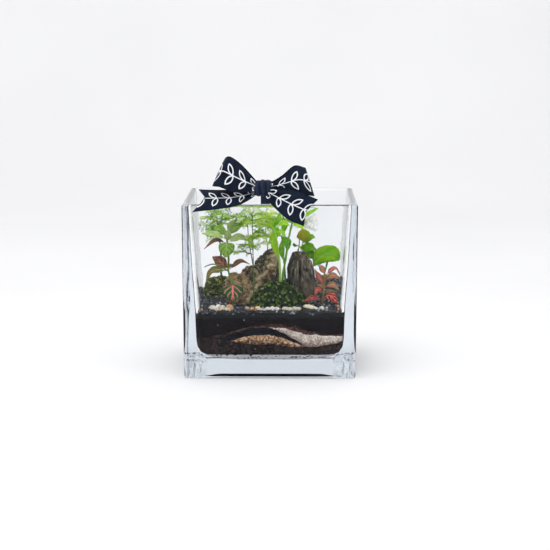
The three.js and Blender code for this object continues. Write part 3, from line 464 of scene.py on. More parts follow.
def chip_paint(name):
    """A bed of black chips pressed against the glass: painted shade in the gaps and painted glints on some,
    more at the top.
    """
    chip_size = 2.3
    paint = Paint(name, 0.5, 0.3)
    each = paint.each(chip_size)
    # painted glints: lighter chips, more of them towards the top of the bed
    painted_glint = each * paint.ramp(paint.place("Z"), [(0.1, 0x606060), (0.8, 0xFFFFFF)])
    stops = [(0.0, 0x040506), (0.55, 0x0C0E13), (0.72, 0x2A2F3A), (0.86, 0x646D7C), (1.0, 0xB8C0CC)]
    colour = paint.ramp(painted_glint, stops)
    # painted shade: dark gaps between the chips
    paint.set(Base_Color=paint.mix(paint.rise(paint.rim(chip_size), 0.03, 0.14), 0x050506, colour))
    return paint.bump(each, 0.4).material


def tinted_paint(name, stops, roughness=0.5, size=3, through=0.0, spread=0.3, depth=0.05, gloss=0.1):
    """Each grain, needle or leaf keeps its own tint, broken up by noise."""
    paint = Paint(name, roughness, gloss)
    colour = paint.ramp((paint.noise(size) - 0.5) * spread + paint.place("Z"), stops)
    paint.set(Base_Color=colour)
    paint.bump(paint.noise(size / 3), depth)
    if through:
        paint.glow_through(colour, through)
    return paint.material


def pointed(paint):
    """How much a surface stands out at a point: 0.5 where it is flat."""
    return paint.node("ShaderNodeNewGeometry", {}, "Pointiness")


def shade_hollows_light_ridges(paint, colour, dark, light):
    """Painted shade darkens a stone's hollows and a painted highlight lightens its ridges."""
    stands = pointed(paint)
    # painted shade: darker where the surface curves in
    colour = paint.mix(paint.fall(stands, 0.42, 0.49) * 0.7, colour, dark)
    # painted highlight: lighter where the surface stands out
    return paint.mix(paint.rise(stands, 0.53, 0.62) * 0.45, colour, light)


def flecked(paint, colour, size, dark, light):
    """Dark and light flecks over a stone's colour."""
    colour = paint.mix(paint.fall(paint.noise(size, 5), 0.36, 0.5, 0xE0E0E0), colour, dark)
    return paint.mix(paint.rise(paint.noise(size * 0.75, 4), 0.52, 0.64, 0xC8C8C8), colour, light)


def brown_stone_paint():
    """Dark upper left face, pale crest down to the lower left with painted shadow under it, tan lobe beside
    them.
    """
    crest_x, crest_z, crest_start, crest_span = 0.816, -0.579, 50.8, 40  # the slanted line of the crest
    lobe_side, lobe_top = -13, 88
    paint = Paint("weathered_stone", 0.9, 0.1)
    x, z = paint.along("X"), paint.along("Z")
    sway = (paint.noise(8, 4) - 0.5) * 15
    past_crest = x * crest_x + z * crest_z + crest_start + sway
    # the dark purple-brown stop just past the pale crest is painted shadow under the crest's overhang
    main = paint.ramp(past_crest * (1 / crest_span) + 0.5, [
        (0.1, 0x26261E), (0.34, 0x45432F), (0.44, 0x8A7A54), (0.51, 0xE4D4AC),
        (0.57, 0x94704A), (0.66, 0x4A3A34), (0.9, 0x5C4A3A),
    ])
    lobe_stops = [(0.32, 0x56452F), (0.46, 0x8E7450), (0.58, 0xB89A6E), (0.75, 0xDCC8A0)]
    lobe = paint.ramp(paint.noise(7, 5), lobe_stops)
    aside = (x + sway * 0.3) * (-1 / 7) + lobe_side / 7
    below = z * (-1 / 8) + lobe_top / 8
    beside = paint.rise(paint.math("MINIMUM", aside, below), 0.0, 1.0)
    colour = flecked(paint, paint.mix(beside, main, lobe), 4, 0x1E1912, 0xC8B68E)
    # painted shade in the hollows and painted highlight on the ridges
    paint.set(Base_Color=shade_hollows_light_ridges(paint, colour, 0x120F0B, 0xD8C8A0))
    return paint.bump(paint.noise(3, 5) + paint.noise(0.8), 0.9).material


def slate_paint():
    """Grey slate with upright grain, painted shade in its cleft, a paler brown patch at the foot of its right
    side.
    """
    foot, foot_reach = (38, -12, 60), 20
    paint = Paint("grained_slate", 0.88, 0.1)
    grain = paint.noise(1.5, 5, (1, 1, 8))
    tone = grain * 0.6 + paint.noise(8, 4, (0.8, 0.8, 2)) * 0.45
    colour = paint.ramp(tone, [(0.36, 0x110F0C), (0.46, 0x332F27), (0.56, 0x585144), (0.68, 0x968A74)])
    patch = paint.far(paint.where(), foot) / foot_reach
    colour = paint.mix(paint.fall(patch, 0.4, 1.0, 0x909090), colour, 0x8A7860)
    # painted shade: the cleft is filled with near-black
    cleft = paint.far(paint.where((1, 1000, 4)), (26, 0, 20)) * 0.2 + paint.noise(2) * 0.3
    colour = paint.mix(paint.fall(cleft, 0.36, 0.56, 0xF0F0F0), colour, 0x060505)
    # painted shade in the hollows and painted highlight on the ridges
    paint.set(Base_Color=shade_hollows_light_ridges(paint, colour, 0x0B0A09, 0x827868))
    return paint.bump(grain + paint.noise(0.8), 0.5).material


def pebble_paint(name, stops):
    """A pebble's own tone with dark dust on it."""
    paint = Paint(name, 0.55, 0.3)
    colour = paint.ramp(paint.noise(2.2, 4) * 0.8 + paint.place("Z") * 0.5, stops)
    dust = paint.each(0.5, "Y") > 0.93
    paint.set(Base_Color=paint.mix(dust * 0.5, colour, 0x6B5B48))
    return paint.bump(paint.noise(0.9, 4), 0.12).material


def veined_paint(name, blade, vein, blotch=0.5, margin=None):
    """A nerve plant's leaf: a midrib, side veins that lean towards the tip, and a fine net between them."""
    side_veins = 4
    paint = Paint(name, 0.45, 0.08)
    t, w, tint = paint.place("X"), abs(paint.place("Y")), paint.place("Z")
    lean = w * -0.42 + t - (paint.noise(2.4, 2) - 0.5) * 0.12
    side = paint.fall(paint.math("PINGPONG", lean * side_veins, 0.5), 0.05, 0.16)
    net = paint.fall(paint.rim(1.5), 0.05, 0.16) * 0.28
    net = net * paint.ramp(tint, [(0.6, 0xFFFFFF), (0.95, 0x101010)])
    veins = paint.math("MAXIMUM", paint.math("MAXIMUM", side, paint.fall(w, 0.05, 0.12)), net)
    veins = veins * paint.fall(w, 0.84, 0.97)
    body = paint.ramp(tint + (paint.noise(3) - 0.5) * blotch, blade)
    if margin:
        body = paint.mix(paint.rise(w, 0.45, 0.85) * 0.8, body, margin)
    colour = paint.mix(veins * (tint * 0.5 + 0.45), body, paint.ramp(tint, vein))
    paint.set(Base_Color=colour)
    paint.bump(paint.math("SUBTRACT", 1.0, veins), 0.3)
    return paint.glow_through(colour, 0.22).material


def blade_paint(name, stops, through, roughness, stripes):
    """A smooth leaf with a pale midrib and faint stripes."""
    paint = Paint(name, roughness, 0.03)
    tone = paint.noise(1.6) * 0.5 + paint.noise(6) * 0.55 + paint.place("Z")
    w = abs(paint.place("Y"))
    veins = paint.math("SINE", (w * -0.3 + paint.place("X")) * 60) * 0.5
    colour = paint.mix(paint.fall(w, 0.03, 0.12) * 0.4, paint.ramp(tone, stops), 0xB4D272)
    colour = paint.mix(veins * stripes, colour, 0xA9CF5E)
    paint.set(Base_Color=colour)
    paint.bump(veins, 0.08)
    return paint.glow_through(colour, through).material


def vine_lines(paint):
    """A printed leafy vine: a stem along the ribbon, with outlined leaves on both sides of it in turn."""
    pitch, length, girth, line = 11.4, 9.2, 1.95, 1.05
    bow = (length * length / 4 - girth * girth) / (2 * girth)  # how far off a leaf's arcs have their centres
    along, across = paint.place("X"), paint.place("Y")
    found = abs(across) < line * 0.42
    for side, start, lean in ((1, 2.4, math.radians(46)), (-1, 1.9, math.radians(66))):
        local = (along + 1000 * pitch) % pitch - start
        up = across * float(side)
        ahead = local * math.cos(lean) + up * math.sin(lean)
        aside = up * math.cos(lean) - local * math.sin(lean)
        spot = paint.node("ShaderNodeCombineXYZ", {0: ahead, 1: aside})
        arcs = [paint.far(spot, (length / 2 + 0.2, y, 0)) for y in (-bow, bow)]
        off = abs(paint.math("MAXIMUM", *arcs) - (bow + girth))
        found = paint.math("MAXIMUM", found, off < line / 2)
    return found


def ribbon_paint(name, printed):
    """Navy ribbon with fine woven ribs, printed on its face, or plain with painted highlights on its ridges.
    """
    paint = Paint(name, 0.55, 0.08)
    colour = paint.ramp(paint.noise(7), [(0.3, 0x0C1320), (0.7, 0x1A2438)])
    if printed:
        colour = paint.mix(vine_lines(paint) * (paint.place("Z") > 0.5), colour, 0xEFF1F6)
    else:
        # painted highlight: lighter along the ridges of the folds
        colour = paint.mix(paint.rise(pointed(paint), 0.5, 0.56) * 0.5, colour, 0x3C4862)
    paint.set(Base_Color=colour, Sheen_Weight=0.02)
    ribs = paint.math("SINE", paint.place("X") * (2 * math.pi / 0.6))
    return paint.bump(ribs, 0.06).material


# ---------------------------------------------------------------- the vase and the space inside

@lru_cache(maxsize=None)
def square_ring(half, radius, z, side_steps, corner_steps):
    """A ring of the rounded square, anticlockwise as seen from above."""
    flat = half - radius
    one_side = [Vector((half, (2 * k / side_steps - 1) * flat, z)) for k in range(side_steps)]
    for k in range(corner_steps):
        a = k / corner_steps * math.pi / 2
        one_side.append(Vector((flat + radius * math.cos(a), flat + radius * math.sin(a), z)))
    turns = [Matrix.Rotation(corner * math.pi / 2, 3, "Z") for corner in range(4)]
    return [turn @ point for turn in turns for point in one_side]


def quarter(start, end, steps=6):
    """Rings of a round edge from one (half width, corner radius, height) to another, outside first."""
    rings = []
    for k in range(steps + 1):
        a = k / steps * math.pi / 2
        shares = (1 - math.cos(a), k / steps, math.sin(a))
        rings.append([p + (q - p) * share for p, q, share in zip(start, end, shares)])
    return rings


PROFILE = [tuple(p) for p in smooth_line(INNER, 96)]  # the inner wall, from the floor up
PROFILE_Z = [p[2] for p in PROFILE]


def wall(z, gap=WET):
    """Half width and corner radius of the space inside at a height."""
    return tuple(float(np.interp(z, PROFILE_Z, [p[k] for p in PROFILE])) - gap for k in (0, 1))


def vase():
    edge = 71.4  # half width of the flat underside
    climb = [end - start for start, end in zip(FOOT_SIDE, RIM_OUTSIDE)]
    halves = (20, 44.8, 45.4, 46, 60, 70.8, edge)
    under = [(half, 2, PUSH_UP * min(1, (edge - half) / PUSH_EDGE)) for half in halves]
    sides = [
        [start + change * share for start, change in zip(FOOT_SIDE, climb)]
        for share in (0.002, 0.006, 0.2, 0.5, 0.8, 0.99, 0.997)
    ]
    profile = [
        *under, *quarter(FOOT_SIDE, FOOT_UNDER)[::-1], *sides, *quarter(RIM_OUTSIDE, RIM_TOP),
        *quarter(LIP_INSIDE, LIP_TOP)[::-1], *PROFILE[::-1][1:],
    ]
    rings = [square_ring(*ring, 20, 12) for ring in profile]
    count = len(rings[0])
    points = [*sum(rings, []), Vector((0, 0, PUSH_UP)), Vector((0, 0, FLOOR_CENTRE))]
    under_middle, floor_middle = len(points) - 2, len(points) - 1
    top = (len(rings) - 1) * count
    faces = bands(len(rings), count)
    for k in range(count):
        n = (k + 1) % count
        faces += [(under_middle, n, k), (floor_middle, top + k, top + n)]
    shape = Shape()
    shape.add(points, faces, [(0, 0, 0)] * len(points))
    shape.piece("vase", glass_paint(), "glass", ["glass_vessel"], sharp=50)


# ---------------------------------------------------------------- filling

SIDE_STEPS, CORNER_STEPS = 112, 18
CAP_SHARES = (0.985, 0.9, 0.7, 0.4)
THIN = 0.12  # a layer thinner than this has ended
LAYER_BASE = 20  # height on the wall that the lowest layer's own rows start at
FOOT_LIGHT_BAND = 16.1  # height on the curved edge of the floor where a band of painted light lies, as pale grains


def ground(x, y):
    back = (y + FILL_HALF) / (2 * FILL_HALF)
    return GROUND_FRONT + back * (GROUND_BACK_RISE + GROUND_TWIST * x / FILL_HALF)


def layer_top(index, node, below):
    """The top of a CAD layer with crumbs, over x and y. Past its ends it is the top of the layer below."""
    tree = tree_of(node)
    spots = np.arange(-64.0, 64.5, 1.0)
    hits = [tree.ray_cast(Vector((x, 0.3, 100)), -UP)[0] for x in spots]
    xs, zs = np.array([(x, hit.z) for x, hit in zip(spots, hits) if hit]).T

    def top(x, y):
        if below and not xs[0] <= x <= xs[-1]:
            return below(x, y)
        crumbs = 0.8 * rough((x, y, 9 * index), 1.7, 2) + 0.6 * rough((x, y, 5 * index), 9, 2)
        own = float(np.interp(x, xs, zs)) + crumbs
        return max(below(x, y), own) if below else own

    return top


def wall_ring(half, radius):
    return square_ring(round(half, 2), round(radius, 2), 0, SIDE_STEPS, CORNER_STEPS)


def layer(name, low, high, material, slot, nodes=(), rows=8):
    """A closed solid that fills the vase between two heights. With no low height it stands on the floor."""
    points, places, faces, columns, shared = [], [], [], [], {}

    def vertex(x, y, z, share):
        points.append(Vector((x, y, z)))
        places.append((0, 0, share))
        return len(points) - 1

    def ended(x, y):
        return low is not None and high(x, y) - low(x, y) < THIN

    floor = [] if low else [ring for ring in PROFILE if ring[2] < LAYER_BASE - 0.3]
    middle_height = 36
    for k, (x, y, _) in enumerate(wall_ring(*wall(middle_height))):
        z_high, z_low = high(x, y), low(x, y) if low else LAYER_BASE
        column = [vertex(*wall_ring(half - WET, radius - WET)[k].xy, z + WET, 0) for half, radius, z in floor]
        for row in range(1 if ended(x, y) else rows + 1):
            z = z_low + (z_high - z_low) * row / rows
            column.append(vertex(*wall_ring(*wall(z))[k].xy, z, row / rows))
        column += column[-1:] * (len(floor) + rows + 1 - len(column))
        columns.append(column)
    for this, after in zip(columns, columns[1:] + columns[:1]):
        faces += zip(this, after, after[1:], this[1:])

    def close(index, height, top, shares):
        """Closes the top or the underside by shrinking rings, and leaves out where the layer has ended."""
        ring = [column[index] for column in columns]
        edge = [points[vertex] for vertex in ring]
        gone = [len(set(column)) == 1 for column in columns]

        def face(*corners):
            faces.append(corners if top else corners[::-1])

        for share in shares:
            inner, inner_gone = [], []
            for x, y, _ in (p * share for p in edge):
                over = ended(x, y)
                mark = (round(x, 4), round(y, 4), "both" if over else top)
                if mark not in shared:
                    shared[mark] = vertex(x, y, (low if over else height)(x, y), top)
                inner.append(shared[mark])
                inner_gone.append(over)
            for k in range(-1, len(ring) - 1):
                if not (gone[k] and gone[k + 1] and inner_gone[k] and inner_gone[k + 1]):
                    face(ring[k], ring[k + 1], inner[k + 1], inner[k])
            ring, gone = inner, inner_gone
        centre = vertex(0, 0, height(0, 0), top)
        for k in range(-1, len(ring) - 1):
            if not (gone[k] and gone[k + 1]):
                face(ring[k], ring[k + 1], centre)

    close(-1, high, 1, CAP_SHARES)
    if low:
        close(0, low, 0, CAP_SHARES)
    else:
        close(0, lambda x, y: FLOOR_CENTRE + WET, 0, ())
    shape = Shape()
    whole = (tuple(dict.fromkeys(face)) for face in faces)
    shape.add(points, [face for face in whole if len(face) > 2], places)
    shape.piece(name, material, slot, nodes)


def filling():
    fills = {
        "soil_lower": grain_paint(
            "dark_soil", [(0.3, 0x120D0D), (0.5, 0x2A2122), (0.72, 0x52433F)], 1.7, 9,
            # a band of painted light on the soil at the foot of the wall
            specks=(1.9, 0.012, 0xB8B2AC), foot=(FOOT_LIGHT_BAND, 0xF4F4F6),
        ),
        "sand_tan": grain_paint(
            "tan_sand", [(0.32, 0x6A4632), (0.5, 0xC09068), (0.68, 0xF2D2B0)], 1.2, 7, fade=0x3A2823,
        ),
        "sand_navy": grain_paint("navy_sand", [(0.3, 0x06080C), (0.5, 0x10131C), (0.75, 0x282C38)], 1.1, 8),
        "sand_cream": grain_paint(
            "cream_sand", [(0.3, 0xA08E80), (0.45, 0xDCCCBE), (0.7, 0xFAF2EA)], 1, 9, fade=0x8A6E60,
        ),
        "sand_rust": grain_paint("rust_sand", [(0.3, 0x120C0D), (0.5, 0x2E2020), (0.7, 0x7A5648)], 1.2, 5),
    }
    below = None
    for index, (node, paint) in enumerate(fills.items()):
        top = layer_top(index, node, below)
        slot = node if below else "dark_soil"
        layer("fill_" + node, below, top, paint, slot, [node], 8 if below else 22)
        below = top

    def soil_top(x, y):
        return ground(x, y) - GRAVEL_DEPTH + 1.3 * rough((x, y, 0), 2.6, 3)

    black = grain_paint(
        "potting_soil", [(0.3, 0x060506), (0.5, 0x120E10), (0.75, 0x282022)], 1.6, 9,
        specks=(1.9, 0.015, 0xC8C4C0),
    )
    layer("fill_soil_upper", below, soil_top, black, "dark_soil", ["soil_upper"])
    gravel(soil_top)


def gravel(soil_top):
    """A bed of chips that closes the fill, and loose grains on it in rows, each moved at random."""
    corner_room, near_wall = 9, 1.6

    def bed_top(x, y):
        return ground(x, y) - 0.5 + 0.7 * rough((x, y, 0), 2, 2)

    layer("gravel_bed", soil_top, bed_top, chip_paint("gravel_bed"), "gravel")
    buried = [tree_of(node) for node in ("stone_brown", "stone_slate", "moss_mound", "moss_cushion")]
    draw = random.Random(71)
    shape = Shape()

    def put(x, y, z, size):
        turn = Euler([draw.uniform(0, 6.3) for _ in range(3)]).to_matrix()
        sizes = [size * draw.uniform(0.75, 1.15) for _ in range(3)]
        shape.grain(Vector((x, y, z)), sizes, turn, draw, draw.random() ** 2)

    cells = int(2 * FILL_HALF / GRAVEL_PITCH)
    for i in range(cells):
        for j in range(cells):
            x = -FILL_HALF + (i + draw.random()) * GRAVEL_PITCH
            y = -FILL_HALF + (j + draw.random()) * GRAVEL_PITCH
            half = wall(ground(x, y))[0] - near_wall
            past = [max(0, abs(c) - half + corner_room) for c in (x, y)]
            start = Vector((x, y, ground(x, y) + 1.5))
            outside = max(abs(x), abs(y)) > half or past[0] ** 2 + past[1] ** 2 > corner_room ** 2
            if outside or any(tree.ray_cast(start, UP)[0] for tree in buried):
                continue
            put(x, y, ground(x, y) - 0.7 + 0.9 * draw.random(), draw.uniform(0.8, 1.45))
    for x, y, _ in square_ring(*wall(GROUND_FRONT, 1.0), 0, 60, 8):
        put(x, y, ground(x, y) + draw.uniform(-0.3, 0.5), draw.uniform(0.7, 1.1))
    # the pale stops give a few grains a painted glint
    stops = [(0.0, 0x040506), (0.45, 0x0C0E13), (0.7, 0x20252E), (0.86, 0x68707F), (0.98, 0xC4CAD4)]
    paint = tinted_paint("black_gravel", stops, 0.36, 1.2, spread=0.35, depth=0.15, gloss=0.4)
    shape.piece("gravel_grains", paint, "gravel", ["gravel_topping"], smooth=False)


# ---------------------------------------------------------------- pebbles

WHITE = [(0.2, 0xB9A992), (0.5, 0xE2D9CA), (0.85, 0xF7F3EA)]
CREAM = [(0.2, 0x9A8B66), (0.5, 0xCDBF98), (0.85, 0xE9DFC2)]
PEACH = [(0.2, 0xA9704A), (0.5, 0xDCA57C), (0.85, 0xF3D8BC)]
ORANGE = [(0.2, 0x9A4B1E), (0.5, 0xD27C3C), (0.85, 0xECAE72)]

# Pebbles by their CAD node: slot, tones and (x, y, half length, half width, half height, turn) of each
PEBBLES = {
    "pebbles_white_left": ("pebble_white", WHITE, [
        (-50.2, -50, 3, 2.4, 2.2, 0.3), (-45.2, -49.2, 3, 2.6, 2.6, 1.1),
        (-47.6, -53, 2.6, 2.1, 1.9, 0.6), (-41.4, -48.2, 2.6, 2.3, 2.1, 0.2),
    ]),
    "pebble_peach_left": ("pebble_peach", PEACH, [(-35.2, -51.6, 3.5, 2.7, 2.5, -0.2)]),
    "pebbles_cream_left": ("pebble_cream", CREAM, [
        (-41.2, -55.2, 2.8, 2, 1.7, 0.4), (-36.9, -56, 2.3, 1.8, 1.5, -0.3),
    ]),
    "pebble_grey_centre": ("pebble_cream", CREAM, [(-19.8, -54, 2.4, 2, 1.8, 0.1)]),
    "pebble_orange_centre": ("pebble_orange", ORANGE, [(-15.4, -54.6, 1.8, 1.6, 1.5, 0)]),
    "pebble_ivory_centre": ("pebble_white", PEACH, [(-10.4, -54.2, 2.9, 2.1, 2, 0.5)]),
    "pebbles_white_right": ("pebble_white", WHITE, [
        (-1.6, -54.8, 2.4, 1.8, 1.6, 0.2), (2.4, -54.2, 2.3, 1.8, 1.7, -0.4),
        (5.9, -54.8, 2.2, 1.7, 1.5, 0.5),
    ]),
    "pebbles_cream_right": ("pebble_cream", CREAM, [
        (12.6, -54.2, 2.6, 1.9, 1.4, 0.1), (16.9, -54.8, 2.5, 1.8, 1.3, 0.4),
        (21.2, -54.2, 2.6, 2, 1.5, -0.2), (25, -54.8, 2.2, 1.7, 1.4, 0.3),
    ]),
    "stone_flat_cream": ("pebble_cream", CREAM, [(35.2, -51.4, 6.9, 3.4, 1.9, 0.06)]),
    "pebble_white_right": ("pebble_white", WHITE, [(44.6, -54, 2.2, 1.8, 1.7, 0.3)]),
    "pebble_white_back": ("pebble_white", WHITE, [(52.4, -17, 2.5, 2, 1.9, 0.8)]),
    "grain_orange_left": ("pebble_orange", ORANGE, [(-59.4, -56, 1.4, 1.2, 1.2, 0)]),
    "grain_rust_left": ("pebble_orange", ORANGE, [(-44.5, -59.6, 1.6, 1.2, 1.1, 0.4)]),
    "grain_orange_right": ("pebble_orange", ORANGE, [(59.2, -47, 1.3, 1.1, 1.1, 0.2)]),
    "grain_amber_right": ("pebble_orange", ORANGE, [(59.4, -56, 1.3, 1.1, 1.1, 0.5)]),
}

# How many small ones lie round each pebble
SMALL_PEBBLES = {
    "pebbles_white_left": 2, "pebbles_cream_left": 2, "pebble_grey_centre": 2, "pebble_ivory_centre": 3,
    "pebbles_white_right": 3, "pebbles_cream_right": 2, "pebble_white_right": 2, "grain_orange_right": 1,
}
PEBBLE_SWELL = (1.06, 1.06, 1.3)  # the flats take away from a pebble's size, and this gives it back


def chip(draw, facets=11):
    """A unit ball cut flat on several sides."""
    cuts = []
    for _ in range(facets):
        way = Vector([draw.gauss(0, 1) for _ in range(3)]).normalized()
        cuts.append((way, draw.uniform(0.62, 0.92)))
    return [
        corner * min([1.0] + [far / corner.dot(way) for way, far in cuts if corner.dot(way) > 0.1])
        for corner in PEBBLE_CORNERS
    ]


def pebbles():
    draw = random.Random(23)
    for node, (slot, tones, stones) in PEBBLES.items():
        shape = Shape()
        crumbs = []
        for x, y, length, width, _, _ in stones:
            for _ in range(SMALL_PEBBLES.get(node, 0)):
                size = draw.uniform(0.7, 1.5)
                side = (x + draw.uniform(-1, 1) * (length + 2.4), y + draw.uniform(-1.1, 0.7) * (width + 1.6))
                crumbs.append((*side, size, size * draw.uniform(0.6, 1), size * 0.8, draw.uniform(0, 3)))
        for x, y, length, width, height, turn in [*stones, *crumbs]:
            tip = Euler((draw.uniform(-0.3, 0.3), draw.uniform(-0.3, 0.3), 0)).to_matrix()
            spin = Matrix.Rotation(turn, 3, "Z") @ tip
            middle = Vector((x, y, ground(x, y) + 0.6 * height))
            sizes = [swell * size for swell, size in zip(PEBBLE_SWELL, (length, width, height))]
            points = [middle + spin @ Vector(c * s for c, s in zip(corner, sizes)) for corner in chip(draw)]
            shape.add(points, PEBBLE_FACES, [(0, 0, draw.random())] * len(points))
        shape.piece("smooth_" + node, pebble_paint("paint_" + node, tones), slot, [node], sharp=28)


# ---------------------------------------------------------------- stones and moss

def refined(node, voxel, soften, relief):
    """A finer copy of a CAD node's mesh with even faces, each point moved by relief along its normal."""
    rough_copy = in_scene("copy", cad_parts[node].data.copy())
    remesh = rough_copy.modifiers.new("remesh", "REMESH")
    remesh.mode = "VOXEL"
    remesh.voxel_size = voxel * MM
    smooth = rough_copy.modifiers.new("soften", "SMOOTH")
    smooth.iterations = soften
    found = bpy.data.meshes.new_from_object(rough_copy.evaluated_get(bpy.context.evaluated_depsgraph_get()))
    bpy.data.objects.remove(rough_copy)
    moved = [v.co + v.normal * relief(v.co / MM) * MM for v in found.vertices]
    found.vertices.foreach_set("co", np.array(moved, np.float32).ravel())
    found.update()
    return found


def chips(point, size, depth):
    """Flat chips that each tilt their own way."""
    spot = Vector(point) / size
    near = noise.voronoi(spot)[1][0]
    lean = noise.cell_vector(near * 9) * 2 - Vector((1, 1, 1))
    return depth * (spot - near).dot(lean)


def stones():
    def crags(p):
        return chips(p, 7, 1.5) + chips(p, 3, 0.9) + 0.3 * rough(p, 1.4, 2)

    def slabs(p):
        upright = Vector((p.x, p.y, p.z / 3))
        return chips(upright, 5, 1.1) + 0.6 * rough((p.x / 1.5, p.y / 1.5, p.z / 10), 1, 4)

    brown = refined("stone_brown", 0.7, 3, crags)
    slate = refined("stone_slate", 0.65, 3, slabs)
    placed("rugged_stone", brown, brown_stone_paint(), ["stone_brown"])
    placed("slate_stone", slate, slate_paint(), ["stone_slate"])


def moss():
    deep = [(0.0, 0x0E1A08), (0.3, 0x2C4814), (0.55, 0x5A7C24), (0.8, 0xA4B24C), (1.0, 0xF0F0C4)]
    olive = [(0.0, 0x1A220A), (0.3, 0x4A561C), (0.55, 0x7E8834), (0.8, 0xB4B25C), (1.0, 0xEEEAC0)]
    spread = {"moss_mound": (17, 7600, 0.06, 1.4, deep), "moss_cushion": (29, 4200, 0.2, 1.2, olive)}
    for node, (seed, count, bright, tall, stops) in spread.items():
        draw = random.Random(seed)
        body = refined(node, 0.9, 4, lambda p: 1.4 * rough(p, 3.4, 3) - 0.5)
        shape = Shape()
        areas = [face.area if face.normal.z > -0.1 else 0 for face in body.polygons]
        for face in draw.choices(body.polygons, areas, k=count):
            foot = face.center / MM
            if foot.z < ground(foot.x, foot.y) - 0.5:
                continue
            tilt = Vector((draw.gauss(0, 0.45), draw.gauss(0, 0.45), 0.5 + draw.random()))
            way = (face.normal + tilt).normalized()
            tuft(shape, foot, way, tall * draw.uniform(0.6, 1.5), bright, draw)
        for _ in range(count // 6):
            edge = body.polygons[draw.randrange(len(body.polygons))].center / MM
            x, y = edge.x + draw.gauss(0, 2.6), edge.y + draw.gauss(0, 2.6)
            way = Vector((draw.gauss(0, 0.5), draw.gauss(0, 0.5), 1)).normalized()
            tuft(shape, Vector((x, y, ground(x, y) - 0.3)), way, tall * draw.uniform(0.6, 1.3), bright, draw)
        floor = [(0.0, 0x10180A), (0.6, 0x24330F), (1.0, 0x4B5A20)]
        soil = tinted_paint("moss_floor_" + node, floor, 0.95, 2, 0, 0.9)
        tufts = tinted_paint("moss_tufts_" + node, stops, 0.7, 1.5, 0.15, 0.2)
        placed(node + "_bed", body, soil, [node])
        shape.piece(node + "_tufts", tufts, "moss", smooth=False)


def tuft(shape, foot, way, tall, bright, draw):
    """Three short moss leaves from one point."""
    side = way.orthogonal().normalized()
    clump = noise.cell_vector(noise.voronoi(foot / 1.5)[1][0] * 9).x
    tint = bright + 0.7 * clump ** 4 + 0.27 * draw.random()
    for k in range(3):
        turned = Matrix.Rotation(k * 2.1 + draw.random(), 3, way) @ side
        shape.needle(foot, foot + tall * (way + 0.6 * turned), 0.42, min(max(tint, 0), 1))


# ---------------------------------------------------------------- plants

OVATE = [0, 0.62, 0.93, 1, 0.9, 0.66, 0.36, 0.05]
LANCE = [0, 0.5, 0.85, 1, 0.9, 0.65, 0.35, 0.03]
ROUND = [0, 0.8, 0.98, 1, 0.96, 0.8, 0.5, 0.06]
BIG = [0.3, 0.76, 0.95, 1, 0.97, 0.84, 0.55, 0.06]
ROOT = 54  # stems go down into the gravel to here


def rooted(points):
    foot = Vector(points[0])
    return [Vector((foot.x, foot.y, ROOT)), *map(Vector, points)]


# Leaves as (stalk, middle, tip, the way the upper face looks, width, tint), and the outline where it isn't
# the one that the plant's other leaves have
LEFT_LEAVES = [
    ((-38, -34, 115), (-49, -35, 119.5), (-59.5, -34, 120), (0, -0.6, 1), 9, 0.05),
    ((-38, -32, 117.5), (-44.5, -29, 123), (-50.2, -25, 124.6), (0.2, -0.9, 0.6), 9, 0.26),
    ((-37.6, -34, 113), (-36.8, -38, 119), (-36, -38, 125), (0, -1, 0), 6.5, 0.02),
    ((-37.6, -34, 112), (-27, -35, 117), (-18.6, -35, 114), (0, -0.6, 1), 9.5, 0.05),
    ((-38, -32, 118), (-30, -29, 125), (-22.5, -27, 128), (0.2, -0.8, 0.8), 8.5, 0.2),
    ((-38.2, -31.4, 120.5), (-33, -29, 128), (-28.5, -27, 131.5), (0.5, -0.8, 0.3), 7, 0.05),
    ((-37.7, -34.5, 113), (-37.8, -41, 110), (-38.5, -44, 100.5), (0, -1, 0.5), 14, 0.24, ROUND),
    ((-37.6, -34, 111.5), (-48, -31, 113.6), (-58, -30, 105.5), (-0.3, -0.5, 1), 6, 0.56),
    ((-37.6, -33.5, 112.5), (-35, -24, 116), (-33.5, -17, 113), (0, 0.4, 1), 9.5, 0.1),
    ((-38, -31.5, 118), (-42, -23, 121.5), (-45, -17, 119), (0, 0.5, 1), 8.5, 0.1),
    ((-38, -38, 88.6), (-43, -35.5, 95), (-50.6, -34, 99.6), (0, -1, 0.5), 10.5, 0.6),
    ((-36.2, -38, 88.5), (-26, -36, 96), (-18, -32, 92.6), (0.2, -0.4, 1), 7, 0.54),
    ((-36.6, -38.4, 88), (-50.5, -41, 88.4), (-56.2, -42, 76.6), (-0.8, -0.6, 0.5), 8.5, 0.46),
    ((-36.2, -37.6, 87.6), (-38, -27, 92), (-41, -20, 87.5), (0, 0.3, 1), 8.5, 0.4),
    ((-32.8, -42, 76), (-32.4, -48.5, 75.2), (-32.2, -53, 64), (0, -1, 0.4), 18, 1.0, ROUND),
    ((-32.4, -41.6, 67), (-33.4, -46.4, 66.4), (-35.4, -48, 60.8), (0.3, -1, 0.5), 9, 0.9),
    ((-32.4, -41.6, 68), (-27.5, -46, 68.8), (-24.4, -49, 64), (0.6, -0.7, 0.7), 7.5, 0.7),
]
LEFT_STEMS = [
    (rooted([(-32.4, -41.5, 60), (-32.8, -41.5, 75), (-36.4, -38, 88.1), (-36.2, -36, 100),
             (-37.7, -34, 114.8), (-38.4, -31, 122)]), (1.1, 0.6)),
    ([(-36.2, -38, 87.6), (-44.7, -38.5, 92.5), (-50.7, -38.5, 93.8), (-57.5, -38, 91)], (0.8, 0.4)),
]
